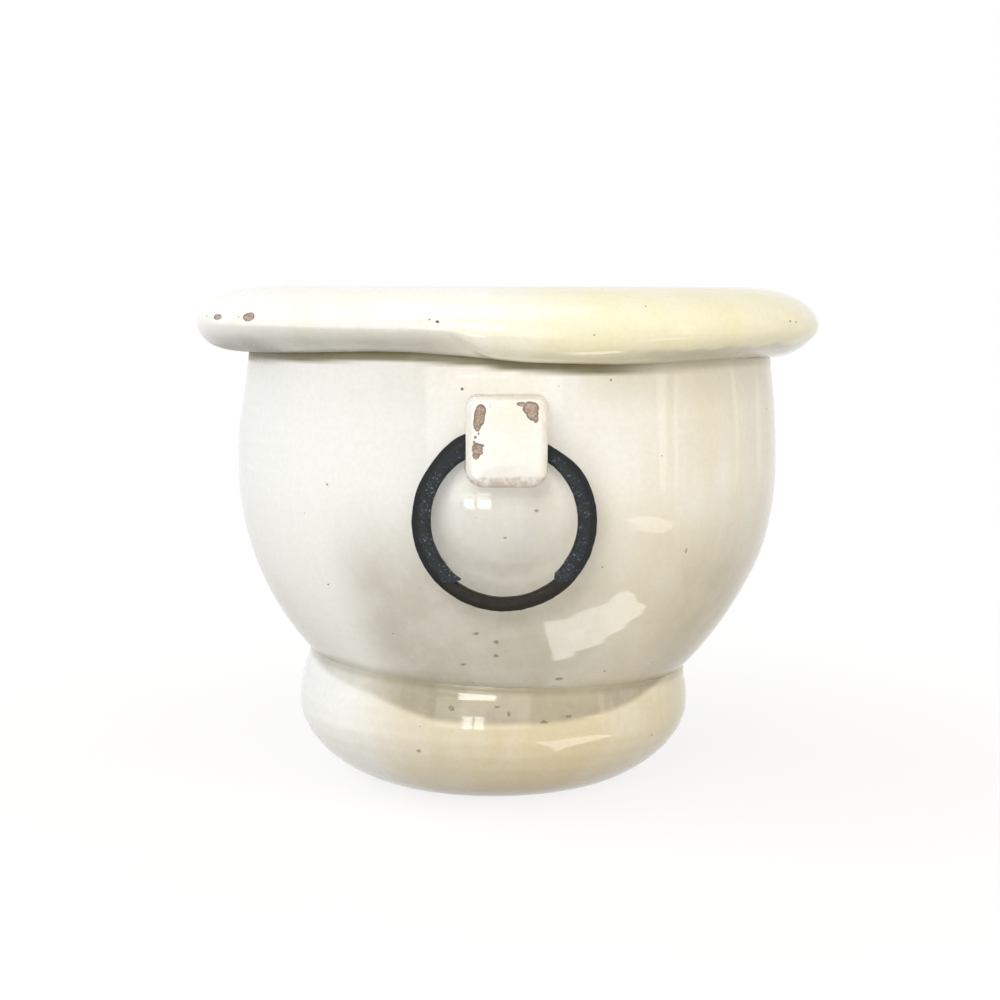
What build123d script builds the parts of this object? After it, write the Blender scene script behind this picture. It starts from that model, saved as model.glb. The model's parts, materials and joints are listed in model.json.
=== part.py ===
from build123d import *
import os
from math import acos, asin, degrees, hypot, sqrt

# A glazed cachepot with two swinging ring handles, in millimetres.
# Z is up from the floor, the bowl's axis is on Z, and the front lug and ring face -Y.

# Foot: a hollow bun-shaped ring that the bowl sits in, set to one side of the bowl's axis
FOOT_RADIUS = 100.4
FOOT_WIDEST_HEIGHT = 40.5
FOOT_SHOULDER_RADIUS = 65.0
FOOT_BASE_RADIUS = 50.0
FOOT_LAND_WIDTH = 12.0
FOOT_WALL = 13.0
FOOT_SEAT_RISE = 14.6
FOOT_SIDE_SHIFT = 6.9
FOOT_UNDERCUT_SHARE = 0.395

# Bowl: a thrown round bowl with a flat floor, drawn in slightly from its widest place to its neck
BOWL_RADIUS = 139.2
BOWL_WALL = 11.0
BOWL_BASE_RADIUS = 49.0
BOWL_FLOOR_THICKNESS = 13.0
NECK_RISE = 56.1
NECK_INSET = 3.6

# Rim: a fat rolled coil laid on the neck
RIM_OVERHANG = 24.4
RIM_TIP_RISE = 15.9
RIM_CROWN_RISE = 19.4
RIM_CROWN_INSET = 13.5
RIM_LIP_WIDTH = 6.0
RIM_LIP_DROP = 13.0
RIM_TOP_SHARE = 0.55
RIM_UNDERSIDE_SHARE = 0.30

# Ring handle: a forged bow whose ends are lapped over a narrower closing link
RING_RADIUS = 37.0
BOW_WIDTH = 8.4
LINK_WIDTH = 6.8
BAR_THICKNESS = 7.2
BAR_CORNER = 2.0
RING_PLAY = 0.4

# Angles along the ring in degrees, counted both ways from its lowest point
LINK_RIGHT_ANGLE = 41.0
LINK_LEFT_ANGLE = 38.0
LAP_ANGLE = 14.0

# Lug: a pillow-shaped block luted to the wall, with a cross hole for the ring
LUG_WIDTH = 36.4
LUG_HOLE_RISE = 20.7
LUG_ABOVE_HOLE = 23.4
LUG_BELOW_HOLE = 17.6
LUG_FRONT_CLAY = 6.4
LUG_BACK_CLAY = 3.4
LUG_CORNER = 7.0
LUG_EDGE = 4.0

# How far a cutting shape runs past what it cuts
OVERRUN = 5.0

# Directions and whole turns in degrees
QUARTER_TURN = 90.0
HALF_TURN = 180.0
FULL_TURN = 360.0

# Heights that stack up from the floor
foot_hollow_radius = FOOT_RADIUS - FOOT_WALL
seat_height = FOOT_WIDEST_HEIGHT + FOOT_SEAT_RISE
bowl_widest_height = seat_height + sqrt(BOWL_RADIUS**2 - foot_hollow_radius**2)
bowl_base_height = bowl_widest_height - sqrt(BOWL_RADIUS**2 - BOWL_BASE_RADIUS**2)
bowl_floor_height = bowl_base_height + BOWL_FLOOR_THICKNESS
neck_height = bowl_widest_height + NECK_RISE
rim_tip_height = neck_height + RIM_TIP_RISE
rim_crown_height = rim_tip_height + RIM_CROWN_RISE

# The upper wall is one long arc that is upright at the widest place and passes through the neck
wall_arc_radius = (NECK_RISE**2 + NECK_INSET**2) / (2 * NECK_INSET)
wall_arc_centre = BOWL_RADIUS - wall_arc_radius
neck_radius = BOWL_RADIUS - NECK_INSET
neck_inner_radius = wall_arc_centre + sqrt((wall_arc_radius - BOWL_WALL) ** 2 - NECK_RISE**2)

# The hole leaves the same play round the ring at the lug's middle and at its two sides
bow_inner_radius = RING_RADIUS - BOW_WIDTH / 2
arch_height = sqrt(bow_inner_radius**2 - (LUG_WIDTH / 2) ** 2)
swing_drop = (RING_RADIUS - BOW_WIDTH / 2 - arch_height) / 2
swing_corner = hypot(swing_drop + BOW_WIDTH / 2 - BAR_CORNER, BAR_THICKNESS / 2 - BAR_CORNER)
hole_radius = swing_corner + BAR_CORNER + RING_PLAY

# Place of the hole, which is the axis that the ring swings about
hole_height = bowl_widest_height + LUG_HOLE_RISE
wall_at_hole = wall_arc_centre + sqrt(wall_arc_radius**2 - LUG_HOLE_RISE**2)
hole_distance = wall_at_hole + LUG_BACK_CLAY + hole_radius
lug_front_distance = hole_distance + hole_radius + LUG_FRONT_CLAY
ring_centre_height = hole_height - RING_RADIUS + swing_drop


def at(radius, height):
    """Point of an outline, by its distance from the axis and its height."""
    return Vector(radius, height)


def quarter(start, corner, end, share):
    """Curve that leaves start towards the corner and arrives at end from the corner."""
    leaving = start + (corner - start) * share
    arriving = end + (corner - end) * share
    return Bezier(start, leaving, arriving, end)


def spun(outline):
    """Solid turned about Z from a closed outline."""
    return revolve(Plane.XZ * make_face(outline), Axis.Z)


def bowl_wall_edges(inset):
    """Round lower wall and nearly upright upper wall, set in from the outside by inset."""
    radius = BOWL_RADIUS - inset
    start_height = bowl_base_height if inset == 0 else bowl_floor_height
    below = degrees(asin((bowl_widest_height - start_height) / radius))
    above = degrees(asin(NECK_RISE / (wall_arc_radius - inset)))
    lower = CenterArc((0, bowl_widest_height), radius, -below, below)
    upper = CenterArc((wall_arc_centre, bowl_widest_height), wall_arc_radius - inset, 0, above)
    return lower, upper


def filled_bowl():
    """Outer shape of the bowl with no hollow, for cutting seats that fit it."""
    lower, upper = bowl_wall_edges(0)
    base = Line(at(0, bowl_base_height), lower @ 0)
    top = Line(upper @ 1, at(0, neck_height))
    axis = Line(at(0, neck_height), at(0, bowl_base_height))
    return spun([base, lower, upper, top, axis])


def make_bowl():
    lower, upper = bowl_wall_edges(0)
    inner_lower, inner_upper = bowl_wall_edges(BOWL_WALL)
    base = Line(at(0, bowl_base_height), lower @ 0)
    top = Line(upper @ 1, inner_upper @ 1)
    floor = Line(inner_lower @ 0, at(0, bowl_floor_height))
    axis = Line(at(0, bowl_floor_height), at(0, bowl_base_height))
    return spun([base, lower, upper, top, inner_upper, inner_lower, floor, axis])


def make_rim():
    tip_radius = neck_radius + RIM_OVERHANG
    crown_radius = neck_radius - RIM_CROWN_INSET
    lip_radius = crown_radius - RIM_LIP_WIDTH
    lip_height = rim_crown_height - RIM_LIP_DROP
    neck = at(neck_radius, neck_height)
    tip = at(tip_radius, rim_tip_height)
    crown = at(crown_radius, rim_crown_height)
    lip = at(lip_radius, lip_height)
    inner_neck = at(neck_inner_radius, neck_height)
    middle_height = (neck_height + lip_height) / 2
    underside = quarter(neck, at(tip_radius, neck_height), tip, RIM_UNDERSIDE_SHARE)
    top = quarter(tip, at(tip_radius, rim_crown_height), crown, RIM_TOP_SHARE)
    inner_edge = quarter(crown, at(lip_radius, rim_crown_height), lip, RIM_TOP_SHARE)
    inside = Bezier(lip, at(lip_radius, middle_height), at(neck_inner_radius, middle_height), inner_neck)
    seat = Line(inner_neck, neck)
    return spun([underside, top, inner_edge, inside, seat])


def make_foot_ring(bowl_shape):
    shoulder_centre = FOOT_RADIUS - FOOT_SHOULDER_RADIUS
    shoulder_turn = degrees(acos((foot_hollow_radius - shoulder_centre) / FOOT_SHOULDER_RADIUS))
    base_outer = at(FOOT_BASE_RADIUS, 0)
    base_inner = at(FOOT_BASE_RADIUS - FOOT_LAND_WIDTH, 0)
    widest = at(FOOT_RADIUS, FOOT_WIDEST_HEIGHT)
    hollow_top = at(foot_hollow_radius, FOOT_WIDEST_HEIGHT)
    land = Line(base_inner, base_outer)
    undercut = quarter(base_outer, at(FOOT_RADIUS, 0), widest, FOOT_UNDERCUT_SHARE)
    shoulder = CenterArc((shoulder_centre, FOOT_WIDEST_HEIGHT), FOOT_SHOULDER_RADIUS, 0, shoulder_turn)
    hollow_side = Line(shoulder @ 1, hollow_top)
    hollow_slope = Line(hollow_top, base_inner)
    blank = spun([land, undercut, shoulder, hollow_side, hollow_slope])
    return Pos(-FOOT_SIDE_SHIFT, 0, 0) * blank - bowl_shape


def make_lug(bowl_shape):
    height = LUG_ABOVE_HOLE + LUG_BELOW_HOLE
    depth = lug_front_distance - wall_at_hole + BOWL_WALL
    middle_distance = lug_front_distance - depth / 2
    middle_height = hole_height + (LUG_ABOVE_HOLE - LUG_BELOW_HOLE) / 2
    block = Pos(0, -middle_distance, middle_height) * Box(LUG_WIDTH, depth, height)
    block = fillet(block.edges().filter_by(Axis.Y), LUG_CORNER)
    front_face = block.faces().sort_by(Axis.Y)[0]
    block = fillet(front_face.edges(), LUG_EDGE)
    cross_hole = Cylinder(hole_radius, LUG_WIDTH + 2 * OVERRUN)
    cross_hole = Pos(0, -hole_distance, hole_height) * Rot(0, QUARTER_TURN, 0) * cross_hole
    return block - bowl_shape - cross_hole


def bar_section(width):
    """Section of the ring's bar, flush with the bow's outer edge."""
    outer_radius = RING_RADIUS + BOW_WIDTH / 2
    return Pos(outer_radius - width / 2, 0) * RectangleRounded(width, BAR_THICKNESS, BAR_CORNER)


def back_half(section):
    """The half of a bar's section that is nearer to the wall."""
    cover = Rectangle(BOW_WIDTH + 2 * OVERRUN, BAR_THICKNESS)
    return section & Pos(RING_RADIUS, BAR_THICKNESS / 2) * cover


def swept(section, start, end):
    """Stretch of the ring between two angles counted from its lowest point, positive to the left."""
    stretch = revolve(section, Axis.Y, end - start)
    return Pos(0, -hole_distance, ring_centre_height) * Rot(0, QUARTER_TURN + start, 0) * stretch


def make_ring_bow():
    section = bar_section(BOW_WIDTH)
    right_end = FULL_TURN - LINK_RIGHT_ANGLE
    bow = swept(section, LINK_LEFT_ANGLE, right_end)
    bow -= swept(back_half(section), LINK_LEFT_ANGLE, LINK_LEFT_ANGLE + LAP_ANGLE)
    bow -= swept(back_half(section), right_end - LAP_ANGLE, right_end)
    return bow


def make_ring_link():
    section = bar_section(LINK_WIDTH)
    tongue = back_half(section)
    link = swept(section, -LINK_RIGHT_ANGLE, LINK_LEFT_ANGLE)
    link += swept(tongue, LINK_LEFT_ANGLE, LINK_LEFT_ANGLE + LAP_ANGLE)
    link += swept(tongue, -LINK_RIGHT_ANGLE - LAP_ANGLE, -LINK_RIGHT_ANGLE)
    return link


def make_parts():
    bowl_shape = filled_bowl()
    parts = {
        "bowl": make_bowl(),
        "rim": make_rim(),
        "foot_ring": make_foot_ring(bowl_shape),
    }
    handle = {
        "lug": make_lug(bowl_shape),
        "ring_bow": make_ring_bow(),
        "ring_link": make_ring_link(),
    }
    for name, shape in handle.items():
        parts["front_" + name] = shape
        parts["back_" + name] = Rot(0, 0, HALF_TURN) * shape
    return parts


os.makedirs("parts", exist_ok=True)
for node, shape in make_parts().items():
    export_step(shape, "parts/" + node + ".step")
print("ring axis: distance", round(hole_distance, 3), "height", round(hole_height, 3))
print("hole radius", round(hole_radius, 3), "ring centre height", round(ring_centre_height, 3))
print("bowl widest", round(bowl_widest_height, 3), "floor", round(bowl_floor_height, 3))
print("neck", round(neck_height, 3), "crown", round(rim_crown_height, 3), "lug front", round(lug_front_distance, 3))
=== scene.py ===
import json
import math

import bmesh
import bpy
import numpy as np
from bpy.props import FloatProperty, FloatVectorProperty, IntProperty, PointerProperty
from bpy.types import Operator, Panel, PropertyGroup
from mathutils import Euler, Matrix, Vector, noise


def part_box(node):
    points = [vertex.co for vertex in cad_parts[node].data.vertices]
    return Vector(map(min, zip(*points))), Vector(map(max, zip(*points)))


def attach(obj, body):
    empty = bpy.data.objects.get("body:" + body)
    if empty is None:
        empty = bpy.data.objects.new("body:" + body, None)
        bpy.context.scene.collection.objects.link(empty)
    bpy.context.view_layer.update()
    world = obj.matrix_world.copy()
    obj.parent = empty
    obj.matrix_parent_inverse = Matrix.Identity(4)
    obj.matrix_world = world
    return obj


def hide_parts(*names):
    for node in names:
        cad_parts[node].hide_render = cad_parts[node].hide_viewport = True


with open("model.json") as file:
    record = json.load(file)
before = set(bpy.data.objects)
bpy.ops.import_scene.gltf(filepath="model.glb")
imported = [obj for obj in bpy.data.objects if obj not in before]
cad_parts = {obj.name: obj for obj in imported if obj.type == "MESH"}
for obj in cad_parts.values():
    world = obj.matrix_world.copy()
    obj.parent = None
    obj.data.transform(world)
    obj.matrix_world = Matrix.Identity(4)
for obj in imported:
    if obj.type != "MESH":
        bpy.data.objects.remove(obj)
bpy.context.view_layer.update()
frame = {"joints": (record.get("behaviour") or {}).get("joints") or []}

bl_info = {
    "name": "Glazed cachepot",
    "version": (1, 0, 0),
    "blender": (4, 5, 0),
    "location": "3D View > Sidebar > Cachepot",
    "description": "A hand-thrown cachepot in ivory glaze with two forged ring handles",
    "category": "Add Mesh",
}

MM = 0.001
FULL_TURN = 2.0 * math.pi

# Sizes that the packed frame already holds, in metres
rim_low, rim_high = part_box("rim")
bowl_low, bowl_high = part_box("bowl")
foot_low, foot_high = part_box("foot_ring")
lug_low, lug_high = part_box("front_lug")
bow_low, bow_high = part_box("front_ring_bow")
link_low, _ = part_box("front_ring_link")
swing = next(joint for joint in frame["joints"] if joint["name"] == "front_ring_swing")
_, hinge_y, hinge_z = swing["pos_m"]

# The two sides that carry a handle: the turn about Z that brings a front piece there
SIDES = {"front": 0.0, "back": math.pi}

# How finely the meshes are divided: steps round a piece, rows of its profile, steps along it
RIM_SEGMENTS, FOOT_SEGMENTS, HOLE_SEGMENTS, FLOOR_SEGMENTS = 600, 360, 96, 96
RIM_UNDER_ROWS, RIM_TOP_ROWS, RIM_CURL_ROWS = 44, 42, 9
FOOT_HOLLOW_ROWS, FOOT_TOP_ROWS = 36, 5
LUG_STEP, BAR_STEP_DEGREES = 0.55 * MM, 0.75
SEAM_GAP = 0.004 * MM
SHARP_CLAY, SHARP_IRON = math.radians(35.0), math.radians(42.0)

# Marks that are no settings: the pitch of the throwing ridges, and how far the forged ring is out of round
RIDGE_PITCH = 7.0 * MM
RING_WIDER, RING_SHORTER = 0.011, 0.009

# Where the glaze has flaked off the clay: centre and reach in millimetres, raggedness
RIM_CHIPS = (
    ((-121.7, -102.3, 239.9), (4.6, 4.6, 2.0), 0.8),
    ((-140.0, -75.7, 239.4), (5.0, 5.0, 1.3), 0.6),
    ((66.0, 143.0, 241.5), (2.6, 2.6, 1.7), 0.9),
)
RIM_SPECKS = (
    ((-147.3, -60.0, 239.6), (1.0, 1.0, 0.6), 0.3),
    ((-127.3, -95.3, 239.7), (0.6, 0.6, 0.6), 0.2),
    ((-31.5, -156.0, 239.0), (0.9, 1.5, 0.7), 0.6),
    ((-35.2, -155.2, 239.9), (0.5, 1.0, 0.4), 0.2),
    ((-26.2, -157.0, 237.6), (0.6, 1.0, 0.4), 0.3),
    ((37.8, -154.6, 233.3), (0.6, 1.2, 0.5), 0.2),
    ((61.8, -140.7, 246.1), (0.5, 0.8, 0.5), 0.2),
    ((135.3, -84.3, 238.6), (1.4, 1.4, 0.5), 0.4),
    ((139.1, -78.4, 238.1), (1.1, 1.1, 0.5), 0.4),
)
LUG_CHIPS = {
    "front": (
        ((-12.1, -163.7, 199.9), (2.2, 4.0, 2.9), 0.4),
        ((-12.8, -163.7, 197.3), (2.3, 4.0, 4.2), 0.4),
        ((-13.7, -163.7, 194.3), (1.7, 4.0, 3.4), 0.4),
        ((-13.7, -163.7, 182.7), (2.3, 4.0, 2.9), 1.7),
        ((-14.2, -163.7, 180.8), (1.5, 4.0, 2.4), 1.0),
        ((-12.4, -163.7, 184.4), (1.7, 4.0, 0.9), 0.8),
        ((-12.3, -163.7, 181.4), (1.3, 4.0, 0.8), 0.7),
        ((-14.6, -163.6, 188.2), (0.7, 2.0, 0.6), 0.3),
        ((-13.1, -163.6, 189.8), (0.4, 2.0, 0.5), 0.2),
        ((-15.1, -163.6, 186.0), (0.6, 2.0, 0.7), 0.4),
        ((9.8, -163.7, 201.4), (3.5, 4.0, 3.0), 0.8),
        ((10.7, -163.7, 198.8), (2.6, 4.0, 3.0), 0.7),
        ((12.0, -163.7, 196.5), (1.2, 4.0, 1.7), 0.5),
        ((5.8, -163.7, 203.0), (2.3, 3.0, 1.0), 0.5),
    ),
    "back": (
        ((11.5, 163.7, 178.0), (3.0, 4.0, 3.4), 1.9),
        ((-13.0, 163.7, 200.5), (2.2, 4.0, 3.6), 1.6),
    ),
}
# Shallow pits that hold dirt, and burnt specks, given in the same way
BOWL_PITS = (
    ((-14.5, -119.3, 93.3), (1.9, 2.4, 1.1), 1.2),
    ((-5.2, -117.6, 89.3), (1.5, 2.4, 1.1), 1.0),
    ((-5.1, -112.6, 81.8), (1.7, 2.4, 1.2), 1.0),
    ((-20.5, -107.0, 76.5), (1.5, 2.4, 0.7), 1.0),
    ((24.8, -98.4, 68.2), (2.4, 2.6, 1.1), 1.0),
    ((13.2, -138.1, 153.0), (1.3, 1.6, 0.8), 0.7),
    ((-1.2, -137.2, 140.5), (1.2, 1.6, 0.5), 0.6),
    ((84.0, -106.0, 130.7), (0.7, 0.7, 2.0), 0.6),
)
BOWL_SPECKS = (
    ((-21.0, -135.3, 208.1), (0.8, 1.5, 0.8), 0.1),
    ((40.6, -129.0, 196.0), (0.5, 1.5, 0.5), 0.1),
    ((-85.0, -98.5, 113.0), (0.6, 1.2, 0.5), 0.2),
)
FOOT_PITS = (
    ((-26.5, -97.0, 53.8), (1.8, 2.2, 1.5), 1.1),
    ((1.1, -99.1, 51.5), (1.0, 2.0, 1.6), 0.8),
    ((17.8, -96.9, 47.2), (2.6, 2.8, 0.9), 1.1),
    ((29.4, -92.9, 49.3), (1.9, 2.2, 1.0), 1.0),
    ((-4.6, -98.8, 54.8), (1.8, 2.0, 0.6), 0.7),
    ((-42.0, -92.5, 32.0), (1.3, 2.0, 1.2), 0.9),
)


def paint(red, green, blue):
    """Linear colour for the usual 0 to 255 values."""
    shares = [value / 255.0 for value in (red, green, blue)]
    return tuple(s / 12.92 if s <= 0.04045 else ((s + 0.055) / 1.055) ** 2.4 for s in shares)


def length(label, says, metres):
    return FloatProperty(name=label, description=says, default=metres, unit="LENGTH", precision=5)


def share(label, says, default):
    return FloatProperty(name=label, description=says, default=default, min=0.0, max=1.0, subtype="FACTOR")


def angle(label, says, degrees):
    return FloatProperty(name=label, description=says, default=math.radians(degrees), subtype="ANGLE")


def watts(label, says, default):
    return FloatProperty(name=label, description=says, default=default, min=0.0, unit="POWER")


def colour(label, says, *values):
    return FloatVectorProperty(
        name=label, description=says, default=paint(*values), size=3, min=0.0, max=1.0, subtype="COLOR"
    )


class ClaySizes(PropertyGroup):
    """Sizes of the thrown and luted clay pieces."""

    bowl_radius: length("Bowl radius", "Widest radius of the bowl", bowl_high.x)
    bowl_base_radius: length("Bowl base", "Radius of the bowl's flat underside", 49.0 * MM)
    bowl_wall: length("Bowl wall", "Thickness of the bowl's wall", 11.0 * MM)
    bowl_floor: length("Bowl floor", "Thickness of the bowl's floor", 13.0 * MM)
    neck_inset: length("Neck inset", "How far the neck is drawn in from the widest place", 3.6 * MM)
    rim_radius: length("Rim radius", "Outer radius of the rolled rim", rim_high.x)
    rim_tip_rise: length("Rim tip", "Height of the rim's widest place above the neck", 15.9 * MM)
    rim_crown_inset: length("Rim crown", "How far the rim's top lies inside the neck", 13.5 * MM)
    rim_lip_width: length("Rim lip", "How far the lip reaches in from the crown", 6.0 * MM)
    rim_lip_drop: length("Lip drop", "How far the lip lies below the crown", 13.0 * MM)
    foot_radius: length("Foot radius", "Widest radius of the bun foot", (foot_high.x - foot_low.x) / 2 + 0.4 * MM)
    foot_shift: length("Foot shift", "How far the foot sits to one side", (foot_high.x + foot_low.x) / 2 + 0.4 * MM)
    foot_base_radius: length("Foot base", "Radius of the ring that the pot stands on", 48.0 * MM)
    foot_land: length("Foot land", "Width of the ring that the pot stands on", 10.0 * MM)
    foot_widest: length("Foot widest", "Height of the foot's widest place", 40.5 * MM)
    foot_shoulder: length("Foot shoulder", "Radius of the foot's rounded shoulder", 65.0 * MM)
    foot_wall: length("Foot wall", "Thickness of the foot's wall", 13.0 * MM)
    lug_top_corner: length("Lug top corner", "Radius of the lug's upper corners", 5.0 * MM)
    lug_bottom_corner: length("Lug bottom corner", "Radius of the lug's lower corners", 8.0 * MM)
    lug_edge: length("Lug edge", "Rounding of the lug's front edge", 4.0 * MM)
    lug_skirt: length("Lug skirt", "Glaze that pools between the lug and the wall", 1.1 * MM)
    lug_shift: length("Lug shift", "How far the lug sits to one side", -0.7 * MM)
    hole_radius: length("Cross hole", "Radius of the lug's hole for the ring", 8.7 * MM)


class HandMarks(PropertyGroup):
    """What the potter's hands left in the clay."""

    segments: IntProperty(name="Segments", description="Steps round the thrown bowl", default=400, min=48)
    wobble: length("Wobble", "How far the thrown walls wander", 0.5 * MM)
    ridge: length("Throwing ridges", "Depth of the rings that the fingers left", 0.06 * MM)
    rim_lift: length("Rim lift", "How far the rim's underside is pressed up at the left", 5.6 * MM)
    rim_slim: share("Slim underside", "Fullness of the rim's underside where it is pressed", 0.26)
    rim_full: share("Full underside", "Fullness of the rim's underside at the fold", 0.68)
    rim_lumps: length("Rim lumps", "Height of the lumps on the rolled rim", 0.55 * MM)
    neck_pinch: length("Neck pinch", "How far the neck is pinched in at the left", 2.0 * MM)
    side_pinch: length("Side pinch", "How far the lower wall is flattened at the right", 2.2 * MM)
    chip_depth: length("Chip depth", "Depth of the places where the glaze came off", 0.45 * MM)
    grit_seed: IntProperty(name="Grit seed", description="Order of the grit in the clay", default=7)
    grit_density: FloatProperty(
        name="Grit", description="Grains of grit for each square metre of glaze", default=260.0, min=0.0
    )


class RingSizes(PropertyGroup):
    """Sizes of the forged ring handles."""

    outer_radius: length("Ring radius", "Outer radius of the ring", bow_high.x)
    bow_width: length("Bow width", "Width of the bow's bar, seen from the front", 8.7 * MM)
    link_width: length("Link width", "Width of the closing link, seen from the front", 6.4 * MM)
    thickness: length("Bar thickness", "Thickness of the bar, front to back", bow_high.y - bow_low.y)
    bevel_width: length("Bevel", "Width of the hammered bevel along the bow's outer edge", 3.2 * MM)
    bevel_drop: length("Bevel drop", "How far the bevel falls away", 1.7 * MM)
    link_drop: length("Link drop", "How far the link's face lies behind the bow's", 0.4 * MM)
    corner: length("Bar corner", "Rounding of the bar's other corners", 1.3 * MM)
    hammer: length("Hammer marks", "Depth of the hammer marks and scale", 0.3 * MM)
    swell: length("Forged swell", "How far the bow bulges beside the lug at the left", 1.5 * MM)
    shift: length("Ring shift", "How far the ring hangs to one side in its hole", -1.6 * MM)
    left_lap: angle("Left lap", "End of the link's tongue at the left, from the lowest point", 52.0)
    right_lap: angle("Right lap", "End of the link's tongue at the right, from the lowest point", 55.0)


class Finishes(PropertyGroup):
    """Colours of the glaze, the bare clay and the iron."""

    ivory: colour("Ivory", "Thick glaze", 244, 243, 239)
    # Butter and cream also serve as painted warm light on the right side
    butter: colour("Butter", "Thin glaze on the rim, more yellow", 238, 230, 188)
    cream: colour("Cream", "Thin glaze, with the clay showing through", 226, 212, 178)
    clay: colour("Bare clay", "Clay where the glaze came off", 178, 157, 140)
    # Dark edge of a chip: a stain with a painted shadow of the glaze's edge
    clay_edge: colour("Chip edge", "Stained edge of a chip in the glaze", 102, 82, 78)
    # Painted shade: darkens the glaze where shade falls, on the lower bowl, under the rim and on the foot below the
    # bowl
    pooled: colour("Pooled glaze", "Dull glaze that ran together", 172, 163, 141)
    # Painted shade under the rim's overhang, greyer than the glaze
    shaded: colour("Shaded glaze", "Greyer glaze under the rim", 166, 163, 154)
    # Wear together with painted shade: the lug's lower bevel worn and shaded, painted shade lines along its front
    # edges, wear at the foot's base
    worn: colour("Worn glaze", "Glaze rubbed thin on the edges", 204, 192, 182)
    # Dust in the creases together with painted shade: the rim's shadow on the neck, the seats of the foot and the
    # lugs, the lug's hole
    dust_and_shade: colour("Grime", "Dust that settled in the creases", 124, 117, 86)
    grit: colour("Grit", "Iron grit that burnt through the glaze", 92, 72, 54)
    iron: colour("Iron", "Smooth forged iron", 27, 30, 30)
    scale: colour("Forge scale", "Blue-grey scale on the bow", 44, 49, 55)
    fleck: colour("Scale fleck", "Bright flecks in the scale", 108, 116, 122)
    brown: colour("Brown iron", "Brown skin of the closing link", 30, 27, 19)


class StageSettings(PropertyGroup):
    """Camera, lamps and floor."""

    lens: FloatProperty(name="Lens", description="Focal length in millimetres", default=72.0, min=1.0)
    distance: length("Camera distance", "From the bowl's axis to the camera", 1041.4 * MM)
    height: length("Camera height", "Height of the camera above the floor", rim_high.z)
    aside: length("Camera aside", "How far the camera stands to one side", -3.75 * MM)
    tilt: angle("Tilt", "How far the camera looks down", 3.0)
    roll: angle("Roll", "How far the camera is turned about its line of sight", 0.22)
    drop: FloatProperty(name="Frame drop", description="Shift of the frame, as a share of its width", default=-0.1092)
    key_power: watts("Key lamp", "Small lamp beside the camera", 9.2)
    front_power: watts("Front window", "Large soft lamp behind the camera", 14.5)
    left_power: watts("Left window", "Large soft lamp at the left", 9.5)
    top_power: watts("Top lamp", "Large soft lamp above", 9.8)
    low_power: watts("Low window", "Two small panes close to the floor in front", 0.22)
    right_power: watts("Right window", "Soft lamp at the right", 6.0)
    strip_power: watts("Window strips", "Faint narrow lamps at the right that the glaze mirrors", 0.8)
    pane_power: watts("Floor panes", "Faint panes on the floor that only the glaze mirrors", 0.21)
    around: FloatProperty(name="Room light", description="Even light from all round", default=0.22, min=0.0)
    floor: colour("Floor", "Pale floor", 186, 182, 172)


GROUPS = {
    "cachepot_clay": ClaySizes,
    "cachepot_hand": HandMarks,
    "cachepot_ring": RingSizes,
    "cachepot_finish": Finishes,
    "cachepot_stage": StageSettings,
}

# Node trees

SOCKETS = {
    "vector": "NodeSocketVector",
    "colour": "NodeSocketColor",
    "value": "NodeSocketFloat",
    "whole": "NodeSocketInt",
    "shape": "NodeSocketGeometry",
    "material": "NodeSocketMaterial",
}


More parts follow.
